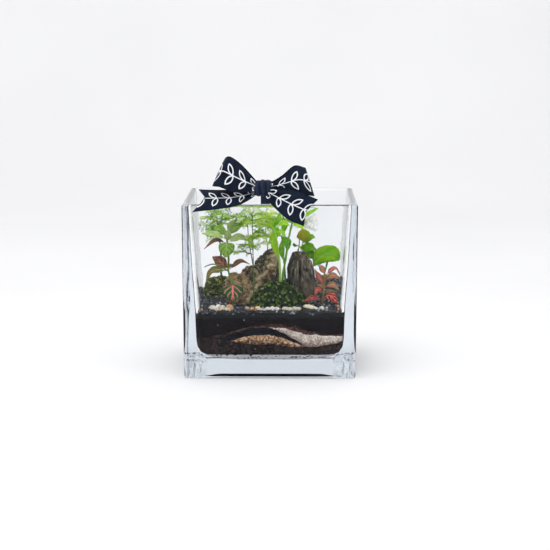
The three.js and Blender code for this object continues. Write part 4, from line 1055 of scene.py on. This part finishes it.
RIGHT_LEAVES = [
    ((45.8, -34, 62.5), (37, -42, 64.6), (29, -46.5, 62.2), (0, -0.6, 1), 8.5, 1.0),
    ((46, -34, 64), (52, -41, 66.5), (58.6, -45, 60.6), (0.3, -0.8, 0.8), 11, 0.9, ROUND),
    ((46.4, -33.6, 67), (52.5, -29, 69), (58.5, -24, 66.4), (0, -0.5, 1), 5.6, 0.3),
    ((46.6, -33.2, 69), (42, -37, 71.5), (38.6, -40, 66.5), (-0.3, -0.9, 0.6), 6.2, 0.8),
    ((47, -32.6, 72.5), (54.5, -34, 75), (61, -34.5, 70), (0.1, -0.9, 0.6), 6.4, 0.45),
    ((47, -32.6, 73.5), (43, -32.5, 81), (38.6, -32, 88.5), (0, -1, 0.1), 5.2, 0.65),
    ((47.6, -31.4, 78), (54.5, -31.5, 82.6), (61, -31.5, 79.5), (0, -0.9, 0.6), 6.4, 0.5),
    ((47.4, -31.6, 77.5), (47.6, -24, 81.5), (48, -17.6, 77.5), (0, 0.4, 1), 6.6, 0.3),
    ((46.8, -33, 71), (43, -26.4, 73.5), (42.6, -19.6, 71.2), (0, 0.4, 1), 6.5, 0.4),
    ((48, -30.4, 82.5), (56.6, -27.5, 88.6), (62.4, -26.5, 81.6), (0.2, -0.4, 1), 5.5, 0.62),
    ((48, -30.2, 83), (44.6, -27, 89), (42, -24, 90.5), (-0.2, -0.6, 1), 5.5, 0.5),
]
RIGHT_STEMS = [(rooted([(45.6, -34, 61.5), (46.6, -33.4, 68), (47.4, -31.6, 77), (48.2, -30, 84)]), (1, 0.6))]

PALMS = {
    "palm_stem_front": (
        [(9.2, -22.5, 66), (8.4, -21.4, 85), (7.3, -20, 99.2), (4.4, -17, 115.7), (2.2, -15, 121.5)],
        [
            ((2.4, -15.2, 121), (6.2, -14, 129), (9.2, -12.4, 137.2), (0.2, -1, 0.1), 5, 0.1),
            ((2.4, -15, 120), (-3, -14, 124), (-9.5, -12.5, 122), (0, -0.5, 1), 5, 0.0),
            ((3, -15.6, 119), (1.6, -9, 125), (-1, -3, 127.5), (0, -0.6, 1), 5, 0.1),
            ((2.6, -15.2, 120.4), (-0.6, -17, 127.4), (-0.8, -17.6, 133.6), (0, -1, 0.2), 5, 0.35),
            ((3.4, -16, 118.4), (9.4, -18, 119.6), (13.6, -18.6, 114.6), (0, -0.8, 1), 4.6, 0.2),
            ((7.7, -20.6, 94), (3.8, -20.4, 107), (2.4, -19, 122), (0.1, -1, 0.1), 7, 0.3),
        ],
        0.6,
    ),
    "palm_stem_middle": (
        [(10.8, -13.5, 66), (11.2, -13.2, 80), (13.4, -12, 92.5), (16.1, -8.4, 111.8), (19, -4.2, 125)],
        [
            ((19, -4.4, 124), (15.6, -6, 129.6), (12.4, -7, 135), (0.2, -1, 0.2), 5.5, 0.2),
            ((18.8, -4.6, 124), (21.6, -7, 130), (25.6, -9, 132.5), (0, -1, 0.4), 6, 0.1),
            ((19, -4.4, 124.4), (31.5, 4, 131), (45.4, 9, 138), (-0.2, -0.7, 1), 5.5, 0.15),
            ((18.6, -5, 122.5), (25, -3.6, 126), (30.5, -3, 121.5), (0, -0.7, 1), 5.5, 0.1),
            ((18.8, -4.6, 123.5), (17.4, 2, 129), (14.8, 8, 130), (0, -0.3, 1), 5.5, 0.0),
            ((18.6, -5.4, 122), (12, -9, 125.6), (5.6, -10, 122.6), (0, -0.7, 1), 6.4, 0.4),
            ((18.8, -5.4, 123), (23.6, -9.6, 124.6), (29.4, -11, 120.4), (0.1, -0.8, 1), 6.4, 0.35),
            ((19, -4.8, 124.4), (17.4, -8.6, 131), (19.6, -10, 137), (0, -1, 0.2), 5.6, 0.3),
            ((12.6, -12.6, 89), (10, -14, 103), (12.2, -14, 117), (0, -1, 0.1), 5.4, 0.1),
        ],
        0.2,
    ),
    "palm_stem_back": (
        [(13.5, 13, 68), (12.6, 12.6, 84), (11, 12, 98), (10, 11.6, 112)],
        [
            ((10.2, 11.7, 110), (5, 9.6, 112.5), (-2.6, 8.6, 103.4), (-0.3, -0.8, 0.7), 8, 0.15),
            ((10.1, 11.7, 111), (14.6, 7, 108), (15, 3.6, 98), (0.1, -1, 0.4), 6.5, 0.0),
            ((10.1, 11.6, 111), (12, 12.6, 121), (11, 13.4, 129.5), (0.1, -1, 0), 6, 0.1),
            ((10, 11.6, 110.5), (3.4, 14, 117.6), (-1.4, 15.6, 118.6), (-0.2, -0.6, 1), 5.5, 0.1),
        ],
        0.1,
    ),
}
ROUND_LEAVES = [
    ((28.9, 21.8, 103), (29.6, 20.4, 110), (27.6, 20.6, 116.6), (-0.2, -1, 0.2), 12.5, 0.25),
    ((28.6, 21.8, 102.5), (35.4, 22, 108.6), (40.2, 22.4, 108.2), (0, -0.9, 0.7), 6.5, 0.05),
    ((27.4, 21.6, 94.5), (34, 20.4, 99.4), (40.6, 19.4, 97.4), (0.1, -1, 0.5), 9, 0.0),
    ((27.4, 21.5, 88), (34.4, 20.6, 93.6), (40.8, 19.6, 88.6), (0.1, -1, 0.5), 9, 0.05),
    ((27.6, 21.6, 97), (24.6, 28, 100), (20.6, 34, 98), (0, 0.7, 1), 10, 0.1),
    ((27.8, 21.4, 86), (32, 29, 90.5), (36, 34.5, 87.4), (0, 0.7, 1), 10, 0.0),
]


def leaves_of(rows, outline, **options):
    shape = Shape()
    for stalk, middle, tip, facing, width, tint, *own in rows:
        form = own[0] if own else outline
        shape.leaf((stalk, middle, tip), Vector(facing), width, form, tint=tint, **options)
    return shape


def stems_of(stems, sides=8, tint=0.0):
    shape = Shape()
    for points, radii in stems:
        shape.tube(smooth_line(points, 22), radii, sides, tint)
    return shape


def nerve_plants():
    stem = tinted_paint("nerve_stem", [(0.0, 0x6E7F3A), (0.4, 0x9AA05C), (0.8, 0xB88A66)], 0.5, 6, 0.1)
    red = [(0.0, 0x8E7A48), (0.4, 0xB47C60), (0.8, 0xD88A7C)]
    red_stem = tinted_paint("nerve_stem_red", red, 0.5, 4, 0.1, 1.2)
    green_blade = [
        (0.0, 0xC8DC8C), (0.2, 0x7CB62C), (0.38, 0x5C8428),
        (0.55, 0x75402D), (0.72, 0x5E5230), (0.88, 0x2E6230),
    ]
    green_vein = [(0.0, 0xE4ECB8), (0.3, 0xC4DC7C), (0.6, 0xDC9078), (1.0, 0xFF8A88)]
    pink_blade = [
        (0.05, 0x2F5A1C), (0.3, 0x6E8434), (0.48, 0xB4704A),
        (0.68, 0xB84A40), (0.88, 0xA01822), (1.0, 0x6E0E16),
    ]
    pink_vein = [(0.2, 0xFAC4AE), (0.7, 0xFFA094), (1.0, 0xFF7A74)]
    green = veined_paint("green_nerve_leaf", green_blade, green_vein)
    pink = veined_paint("pink_nerve_leaf", pink_blade, pink_vein, blotch=1.1, margin=0x56602C)
    leaves = leaves_of(LEFT_LEAVES, OVATE, quilt=0.35)
    leaves.piece("nerve_left_leaves", green, "leaf_pale_green", ["nerve_plant_left"])
    stems_of(LEFT_STEMS).piece("nerve_left_stems", stem, "leaf_pale_green")
    leaves = leaves_of(RIGHT_LEAVES, OVATE, quilt=0.35)
    leaves.piece("nerve_right_leaves", pink, "leaf_pink", ["nerve_plant_right"])
    stems_of(RIGHT_STEMS).piece("nerve_right_stems", red_stem, "leaf_pink")


def palm():
    stem = tinted_paint("palm_stem", [(0.0, 0x4E8A1C), (0.3, 0x82BA3C), (0.8, 0xC0DE74)], 0.38, 8, 0.15, 0.2)
    leaf = blade_paint("palm_leaflet", [(0.35, 0x2F8404), (0.55, 0x66BC0A), (0.85, 0xB6E62C)], 0.3, 0.4, 0.25)
    for node, (stalk, leaflets, tint) in PALMS.items():
        leaves_of(leaflets, LANCE, fold=0.3).piece(node + "_leaflets", leaf, "leaf_green", [node])
        stems_of([(rooted(stalk), (1.25, 0.75))], 10, tint).piece(node + "_stalk", stem, "leaf_green")


def round_leaved():
    stem = tinted_paint("round_stem", [(0.0, 0x6C9A3A), (0.5, 0x8DB454), (0.9, 0xA8906A)], 0.4, 6, 0.15)
    tones = [(0.35, 0x3C9202), (0.52, 0x6CB202), (0.68, 0xA0CC0C), (0.9, 0xC89A20)]
    leaf = blade_paint("round_leaf", tones, 0.3, 0.4, 0.12)
    leaves_of(ROUND_LEAVES, ROUND, quilt=0.15).piece("round_leaves", leaf, "leaf_bright", ["round_leaf_stem"])
    stalks = [(rooted([(29, 20, 68), (28, 21, 84), (27.4, 21.6, 96), (28.9, 21.8, 104)]), (0.9, 0.5))]
    stems_of(stalks).piece("round_stem_stalk", stem, "leaf_bright")
    big = Shape()
    blade = [(63.2, 15, 90), (54, 14.6, 94.6), (45, 13.4, 92.4), (38.4, 12, 84)]
    big.leaf(blade, Vector((-0.1, -1, 0.45)), 16.5, BIG, 0.12, 0.02, 0.2, 0.05, 22)
    big.piece("large_leaf", leaf, "leaf_bright", ["round_leaf_large"])
    stalk = rooted([(45.2, 2, 66), (46.6, 5, 72), (48.6, 10, 79), (52.6, 13.6, 93.4)])
    stems_of([(stalk, (0.9, 0.6))]).piece("large_leaf_stalk", stem, "leaf_bright")


# Fern fronds by their CAD node: wiry stems, then sprays as (foot, tip)
FRONDS = {
    "fern_frond_left": (
        [[(-44.4, 20, 66), (-45.4, 19, 92), (-47.4, 16, 116), (-48.4, 15, 131.5)]],
        [
            ((-47.6, 16, 118), (-62.4, 9, 121)), ((-47.8, 15.8, 121), (-36, 10, 121.6)),
            ((-47.9, 15.6, 123.5), (-61, 18, 126.4)), ((-48, 15.5, 126), (-33, 12, 128.6)),
            ((-48.1, 15.3, 127.5), (-54, 2, 128.6)), ((-48.2, 15.2, 129), (-42, 3.6, 131.6)),
            ((-48.3, 15.1, 130), (-52, 27, 131)), ((-48.3, 15, 131), (-38, 22, 133)),
            ((-48.3, 15, 131), (-55.6, 12, 134)),
        ],
        31,
    ),
    "fern_frond_front": (
        [
            [(-14.1, -39.5, 64), (-14.8, -38.6, 90), (-15.1, -35.5, 112), (-16, -30, 136)],
            [(-14.9, -38.4, 93), (-18.4, -37, 112), (-19.6, -32.5, 127)],
        ],
        [
            ((-15, -36.8, 102), (-33, -30, 103)), ((-15.1, -36.2, 106), (-27, -27, 107.4)),
            ((-15.2, -34.6, 116), (-5, -40, 118.6)), ((-19.5, -33, 125.5), (-29.6, -40, 128)),
            ((-19.5, -32.6, 126.6), (-26, -22, 129.8)), ((-15.6, -32.4, 125.6), (-2, -34, 128)),
            ((-15.7, -31.8, 128), (-8, -44, 129.4)), ((-15.8, -31.2, 131), (1.6, -28, 131.6)),
            ((-15.8, -31, 132), (-30, -33, 135)), ((-15.9, -30.6, 133.6), (-12, -17, 134)),
            ((-15.9, -30.4, 134.6), (-3, -38, 137)), ((-16, -30.2, 135.4), (-24, -20, 138)),
            ((-16, -30, 136), (-13, -26, 141)),
        ],
        37,
    ),
    "fern_frond_middle": (
        [[(-3.6, 31, 66), (-3.8, 30.4, 96), (-4.6, 28.4, 114), (-3, 27, 127)]],
        [
            ((-4.4, 28.8, 111), (-12.6, 25, 114.6)), ((-4.6, 28.2, 115.5), (6, 23, 117)),
            ((-4.3, 28, 119), (-13, 31, 122.6)), ((-3.8, 27.6, 122), (9.6, 30, 124)),
            ((-3.4, 27.3, 124.6), (-5, 15.6, 127)), ((-3.2, 27.1, 126), (4.6, 37, 128.6)),
            ((-3, 27, 126.6), (-9, 20, 131)),
        ],
        41,
    ),
    "fern_frond_back": (
        [[(24.5, 41, 68), (24.8, 41.6, 94), (27, 43.6, 110), (31, 45, 119)]],
        [
            ((27.4, 43.8, 111.6), (37.6, 41, 115)), ((28.4, 44.2, 114), (24.6, 35.6, 119)),
            ((29.6, 44.6, 116.6), (40.6, 48, 120)), ((30.4, 44.8, 118), (37.6, 39.6, 124.6)),
            ((31, 45, 119), (31, 50, 126)),
        ],
        43,
    ),
}
TWIG_STEP = 3.2
TWIG_REACH = 8.5
NEEDLE_STEP = 1.3
NEEDLE_LENGTH = 3.4
NEEDLE_GIRTH = 0.24
DRY_NEEDLE_GIRTH = 0.09
EXTRA_SPRAYS = {"fern_frond_left": 9, "fern_frond_front": 12, "fern_frond_middle": 8, "fern_frond_back": 0}


def spray(shape, foot, tip, draw, girth):
    """A flat feathery spray: side twigs in one plane, each with fine needles all along it."""
    parts, twig_sag = 12, 1.1
    axis = smooth_line([foot, foot.lerp(tip, 0.5) + 1.4 * UP, tip], parts)
    shape.tube(axis, (0.3, 0.12), 4, 0.1)
    steps = int((tip - foot).length / TWIG_STEP)
    roll = draw.uniform(-0.9, 0.9)
    fresh = draw.uniform(0.0, 0.5)
    for k in range(steps + 1):
        t = 0.12 + 0.88 * k / steps
        index = min(int(t * parts), parts - 1)
        start = axis[index].lerp(axis[index + 1], t * parts - index)
        ahead = (axis[index + 1] - axis[index]).normalized()
        across = Matrix.Rotation(roll + draw.uniform(-0.3, 0.3), 3, ahead) @ ahead.cross(UP).normalized()
        fullness = 0.35 + 0.65 * math.sin(math.pi * min(t * 0.75 + 0.15, 1))
        for side in (-1, 1):
            length = TWIG_REACH * fullness * draw.uniform(0.6, 1.15)
            way = ahead * draw.uniform(0.5, 1.0) + across * side + UP * draw.uniform(-0.2, 0.3)
            way.normalize()

            def along_twig(s):
                return start + way * length * s - UP * (twig_sag * s * s)

            shape.tube([along_twig(s) for s in (0, 0.33, 0.67, 1)], (0.16, 0.08), 3, 0.2)
            tint = fresh + 0.5 * draw.random()
            beside = way.cross(ahead).normalized().cross(way)
            for n in range(int(length / NEEDLE_STEP) + 1):
                s = n * NEEDLE_STEP / length
                at = along_twig(s)
                spins = (draw.uniform(-0.5, 0.5), math.pi + draw.uniform(-0.5, 0.5), draw.uniform(0, 6.3))
                for spin in spins:
                    out = way * 0.7 + Matrix.Rotation(spin, 3, way) @ beside
                    size = NEEDLE_LENGTH * draw.uniform(0.5, 1.15) * (1 - 0.4 * s)
                    shape.needle(at, at + out.normalized() * size, girth, tint + draw.uniform(-0.15, 0.2))


def ferns():
    stops = [(0.0, 0x175204), (0.22, 0x4E9C06), (0.42, 0xA8E00C), (0.7, 0xDCF63C), (1.0, 0xF8FEA4)]
    needle = tinted_paint("fern_needles", stops, 0.6, 9, 0.45, 0.9, gloss=0.02)
    pale = [(0.0, 0xBFC79C), (0.5, 0xDCE0C4), (1.0, 0xF2F2E6)]
    dry = tinted_paint("dry_fern_needles", pale, 0.6, 6, 0.4, 0.4)
    wire = tinted_paint("fern_stems", [(0.0, 0x4E6A30), (0.5, 0x8A7F58), (1.0, 0x9C7B60)], 0.6, 5, 0.0, 0.6)
    for node, (stems, sprays, seed) in FRONDS.items():
        draw = random.Random(seed)
        shape = Shape()
        paint, girth = (dry, DRY_NEEDLE_GIRTH) if node == "fern_frond_back" else (needle, NEEDLE_GIRTH)
        for foot, tip in sprays:
            spray(shape, Vector(foot), Vector(tip), draw, girth)
        stalk = smooth_line([Vector(p) for p in stems[0]], 40)
        for _ in range(EXTRA_SPRAYS[node]):
            foot = stalk[draw.randrange(24, 40)]
            turn, reach = draw.uniform(0, 2 * math.pi), draw.uniform(9, 15)
            tip = foot + Vector((math.cos(turn) * reach, math.sin(turn) * reach, draw.uniform(-1, 5)))
            tip = Vector((min(max(tip.x, -56), 56), min(max(tip.y, -48), 52), tip.z))
            spray(shape, foot, tip, draw, girth)
        shape.piece(node + "_sprays", paint, "fern_green", [node], smooth=False)
        main, *others = stems
        wires = [(rooted(main), (0.7, 0.35)), *((other, (0.45, 0.3)) for other in others)]
        stems_of(wires, 6).piece(node + "_wires", wire, "fern_green")


# ---------------------------------------------------------------- bow

KNOT = Vector((-5.3, -81, 165))
KNOT_LEFT, KNOT_RIGHT = -10.5, -0.1  # where the ribbon goes into the knot

# Stations along each strip of ribbon, as (upper edge, middle, lower edge)
LOOP_LEFT = [
    ((KNOT_LEFT, -82.5, 171), (KNOT_LEFT, -84.5, 166.4), (KNOT_LEFT, -83.4, 161.6)),
    ((-23.4, -84.6, 185), (-26.4, -87, 173.8), (-29.6, -85.6, 162)),
    ((-33, -83, 191.6), (-38.8, -85.4, 179.6), (-44.6, -83.6, 167)),
    ((-37.6, -77.6, 189.4), (-43.4, -78, 177.8), (-48.2, -77.8, 166.2)),
    ((-34.4, -72, 187.6), (-38.6, -71, 176.8), (-43, -72, 165)),
    ((-22.4, -71.6, 180.6), (-25, -70.6, 172.4), (-29, -71.6, 164.2)),
    ((KNOT_LEFT, -76.4, 170), (KNOT_LEFT, -76, 167), (KNOT_LEFT, -77, 164)),
]
LOOP_RIGHT = [
    ((KNOT_RIGHT, -82.6, 168.4), (KNOT_RIGHT, -84.6, 166), (KNOT_RIGHT, -83.4, 163.6)),
    ((10.6, -83.6, 175.8), (12.6, -86, 169.4), (14.6, -84.6, 163)),
    ((20.8, -82, 184), (24.4, -84.4, 172.4), (27.8, -83.2, 160)),
    ((30, -77, 181.4), (33.8, -78, 170), (37.6, -78, 157.8)),
    ((26, -71.6, 181.6), (29.4, -70.6, 170), (32.6, -72, 159.6)),
    ((12.4, -71.4, 174.8), (14.4, -70.6, 168.8), (16.6, -71.6, 163.4)),
    ((KNOT_RIGHT, -76.6, 168.6), (KNOT_RIGHT, -76, 166.4), (KNOT_RIGHT, -77, 164)),
]
TAIL_LEFT = [
    ((KNOT_LEFT, -79.4, 163.2), (KNOT_LEFT, -80.6, 161.2), (KNOT_LEFT, -80.8, 159.2)),
    ((-20, -77.6, 162.6), (-20, -81, 158.8), (-19, -82.4, 153.8)),
    ((-33.4, -72, 162.4), (-32, -79, 156.6), (-29.4, -82.4, 149.4)),
    ((-47, -68, 162), (-47, -76.4, 155.8), (-46, -81.6, 146.8)),
    ((-60.6, -66, 162.2), (-62.6, -74.5, 155.6), (-65.3, -81.2, 144.6)),
]
TAIL_RIGHT = [
    ((1.4, -84, 168), (-0.6, -86, 161.6), (-4, -85.4, 157)),
    ((14.8, -87.4, 165.2), (10, -88.6, 156.4), (4, -87, 148.8)),
    ((28, -88, 161.4), (22, -88.4, 150.6), (15.4, -86, 139)),
    ((40.8, -86.4, 155.8), (35.8, -86.8, 144.9), (28.6, -84, 133.2)),
]


def ribbon(name, stations, side, notch, node, paint, phase):
    """A strip of ribbon whose printed face is on the given side. The notch cuts a V into its end.

    The strip is pinched into folds within a pinch length of the knot, at both ends where it has no notch.
    """
    steps, columns, pinch_length, fold_depth, near = 80, 30, 24, 1.5, 0.5
    lines = [smooth_by_station([station[k] for station in stations], steps) for k in range(3)]
    reach = reach_along(lines[1])
    total = float(reach[-1])
    stops = np.arange(len(reach))

    def surface(s, w):
        k = np.interp(s, reach, stops)
        up, mid, low = (np.array([np.interp(k, stops, line[:, axis]) for axis in range(3)]) for line in lines)
        return Vector(mid + w * (up - low) / 2 + w * w * ((up + low) / 2 - mid))

    def fold(s, w):
        from_knot = s if notch else min(s, total - s)
        pinch = max(0.0, 1 - from_knot / pinch_length) ** 1.1
        return pinch * fold_depth * math.cos(3.2 * math.pi * w + phase)

    rings, places = [], []
    across = [2 * k / columns - 1 for k in range(columns + 1)][::side]
    for i in range(steps + 1):
        front, back, marks = [], [], []
        for w in across:
            s = i / steps * (total - notch * (1 - abs(w)))
            ahead = surface(min(s + near, total), w) - surface(max(s - near, 0), w)
            over = surface(s, min(w + 0.05, 1)) - surface(s, max(w - 0.05, -1))
            normal = over.cross(ahead).normalized() * side
            middle = surface(s, w) + normal * fold(s, w)
            front.append(middle + normal * RIBBON_THICKNESS / 2)
            back.append(middle - normal * RIBBON_THICKNESS / 2)
            marks.append((s + phase * 4, w * RIBBON_WIDTH / 2))
        rings.append(front + back[::-1])
        places.append([(*mark, 1.0) for mark in marks] + [(*mark, 0.0) for mark in marks[::-1]])
    shape = Shape()
    shape.loft(rings, places)
    piece = shape.piece(name, paint, "ribbon", [node], sharp=60)


def knot(paint):
    """A short band of ribbon round the middle of the bow, gathered into folds that run round it."""
    half, depth, height, steps, sides, thick = 7, 7.2, 7.4, 20, 40, 0.6
    turns = [2 * math.pi * k / sides for k in range(sides)]
    outer, inner = [], []
    for i in range(steps + 1):
        share = 2 * i / steps - 1
        outside = []
        for a in turns:
            folds = 0.05 * math.cos(share * 9 + 1.6 * math.sin(a))
            folds += 0.04 * rough((share * 3, math.cos(a), math.sin(a)), 0.7)
            size = (1 - 0.2 * share ** 4) * (0.93 + folds)
            x = share * half + 0.8 * math.sin(a + 0.7)
            outside.append(KNOT + Vector((x, depth * size * math.cos(a), height * size * math.sin(a))))
        outer.append(outside)
        inner.append([p - Vector((0, math.cos(a), math.sin(a))) * thick for p, a in zip(outside, turns)])
    rings = outer + inner[::-1]
    points = sum(rings, [])
    shape = Shape()
    shape.add(points, bands(len(rings), sides, closed=True), [(p.x, p.z, 0) for p in points])
    piece = shape.piece("knot_band", paint, "ribbon", ["bow_knot"])


def tab(paint):
    """A folded strip that holds the knot to the rim."""
    left, right, front, back, top, thick = -7.6, 0.4, -73.3, -70.3, 168, 0.5
    bottom, bend, steps = HEIGHT + 0.5, 162, 40
    path = [
        (front + 0.3, bottom), (front + 0.3, bend), (front + 0.6, top - 0.9), ((front + back) / 2, top - 0.3),
        (back - 0.6, top - 0.9), (back - 0.3, bend), (back - 0.3, bottom),
    ]
    line = smooth_line([(y, z, 0) for y, z in path], steps)
    rings, places = [], []
    for k, (y, z, _) in enumerate(line):
        ahead = ahead_at(line, k)
        out_y, out_z = -ahead.y * thick / 2, ahead.x * thick / 2
        corners = ((left, 1), (right, 1), (right, -1), (left, -1))
        rings.append([Vector((x, y + out_y * face, z + out_z * face)) for x, face in corners])
        places.append([(k, -4 if x == left else 4, 0) for x, _ in corners])
    shape = Shape()
    shape.loft(rings, places)
    piece = shape.piece("rim_tab", paint, "ribbon", ["bow_tab"], sharp=60)


def bow():
    printed = ribbon_paint("printed_ribbon", True)
    plain = ribbon_paint("plain_ribbon", False)
    ribbon("loop_left", LOOP_LEFT, 1, 0, "bow_loop_left", printed, 0.6)
    ribbon("loop_right", LOOP_RIGHT, -1, 0, "bow_loop_right", printed, 1.4)
    ribbon("tail_left", TAIL_LEFT, 1, 8.5, "bow_tail_left", printed, 0.3)
    ribbon("tail_right", TAIL_RIGHT, -1, 5.5, "bow_tail_right", printed, 0.9)
    knot(plain)
    tab(plain)


# ---------------------------------------------------------------- stage, light and camera

CAMERA = Vector((18, -1592, 313)) * MM
CAMERA_YAW, CAMERA_PITCH = math.radians(-0.51), math.radians(8.36)
FOCAL_PIXELS, FRAME_PIXELS, SENSOR = 1801, 550, 36


def camera():
    data = bpy.data.cameras.new("camera")
    data.sensor_width = SENSOR
    data.lens = FOCAL_PIXELS / FRAME_PIXELS * SENSOR
    data.clip_start = 0.01
    flat = math.cos(CAMERA_PITCH)
    ahead = Vector((math.sin(CAMERA_YAW) * flat, math.cos(CAMERA_YAW) * flat, -math.sin(CAMERA_PITCH)))
    eye = in_scene("camera", data)
    eye.location = CAMERA
    eye.rotation_euler = ahead.to_track_quat("-Z", "Y").to_euler()
    bpy.context.scene.camera = eye


def lamp(name, place, target, size, power):
    """A square soft light at a place in metres."""
    data = bpy.data.lights.new(name, "AREA")
    data.shape = "RECTANGLE"
    data.size = data.size_y = size
    data.energy = power
    light = in_scene(name, data)
    light.location = place
    light.rotation_euler = (Vector(target) - Vector(place)).to_track_quat("-Z", "Y").to_euler()


def backdrop():
    """Pale paper that lies flat under the vase and curves up behind it. Its sizes are metres."""
    paint = Paint("paper", 0.85)
    paint.set(Base_Color=paint.ramp(paint.noise(300, 2), [(0.3, 0xE9E9EA), (0.7, 0xECECED)]))
    floor_z, front, bend, bend_radius, top, half = -0.0004, -2.2, 1.1, 0.8, 3.2, 3.2
    profile = [(front, floor_z)]
    for a in np.linspace(0, math.pi / 2, 16):
        profile.append((bend + bend_radius * math.sin(a), floor_z + bend_radius * (1 - math.cos(a))))
    profile.append((bend + bend_radius, top))
    mesh = bpy.data.meshes.new("backdrop")
    points = [(x, y, z) for y, z in profile for x in (-half, half)]
    faces = [(2 * k, 2 * k + 1, 2 * k + 3, 2 * k + 2) for k in range(len(profile) - 1)]
    mesh.from_pydata(points, [], faces)
    mesh.polygons.foreach_set("use_smooth", [True] * len(mesh.polygons))
    mesh.materials.append(paint.material)
    floor = in_scene("backdrop", mesh)


def studio():
    """Soft light: a world that is dimmer in front of the vase than behind it, and three lamps."""
    backdrop()
    world = bpy.data.worlds.new("studio")
    bpy.context.scene.world = world
    world.use_nodes = True
    sky = Nodes(world.node_tree)
    background = sky.tree.nodes["Background"]
    depth = sky.split(sky.node("ShaderNodeTexCoord", {}, "Generated"), "Y") * 0.5 + 0.5
    tones = [(0.0, (0.72, 0.72, 0.73, 1)), (0.5, (0.8, 0.8, 0.81, 1)), (1.0, (1, 1, 1, 1))]
    sky.put(background.inputs["Color"], sky.ramp(depth, tones))
    background.inputs["Strength"].default_value = 0.85
    middle = (0, 0, 0.08)
    lamp("key", (-0.5, -0.9, 1.6), middle, 1.5, 15)
    lamp("fill", (1.2, -0.9, 0.9), middle, 0.8, 4)
    lamp("wash", (0, 0.3, 2.4), (0, 1.9, 0.7), 1.8, 19)
    bpy.context.scene.view_settings.view_transform = "Standard"



vase()
filling()
pebbles()
stones()
moss()
nerve_plants()
palm()
round_leaved()
ferns()
bow()
studio()
camera()
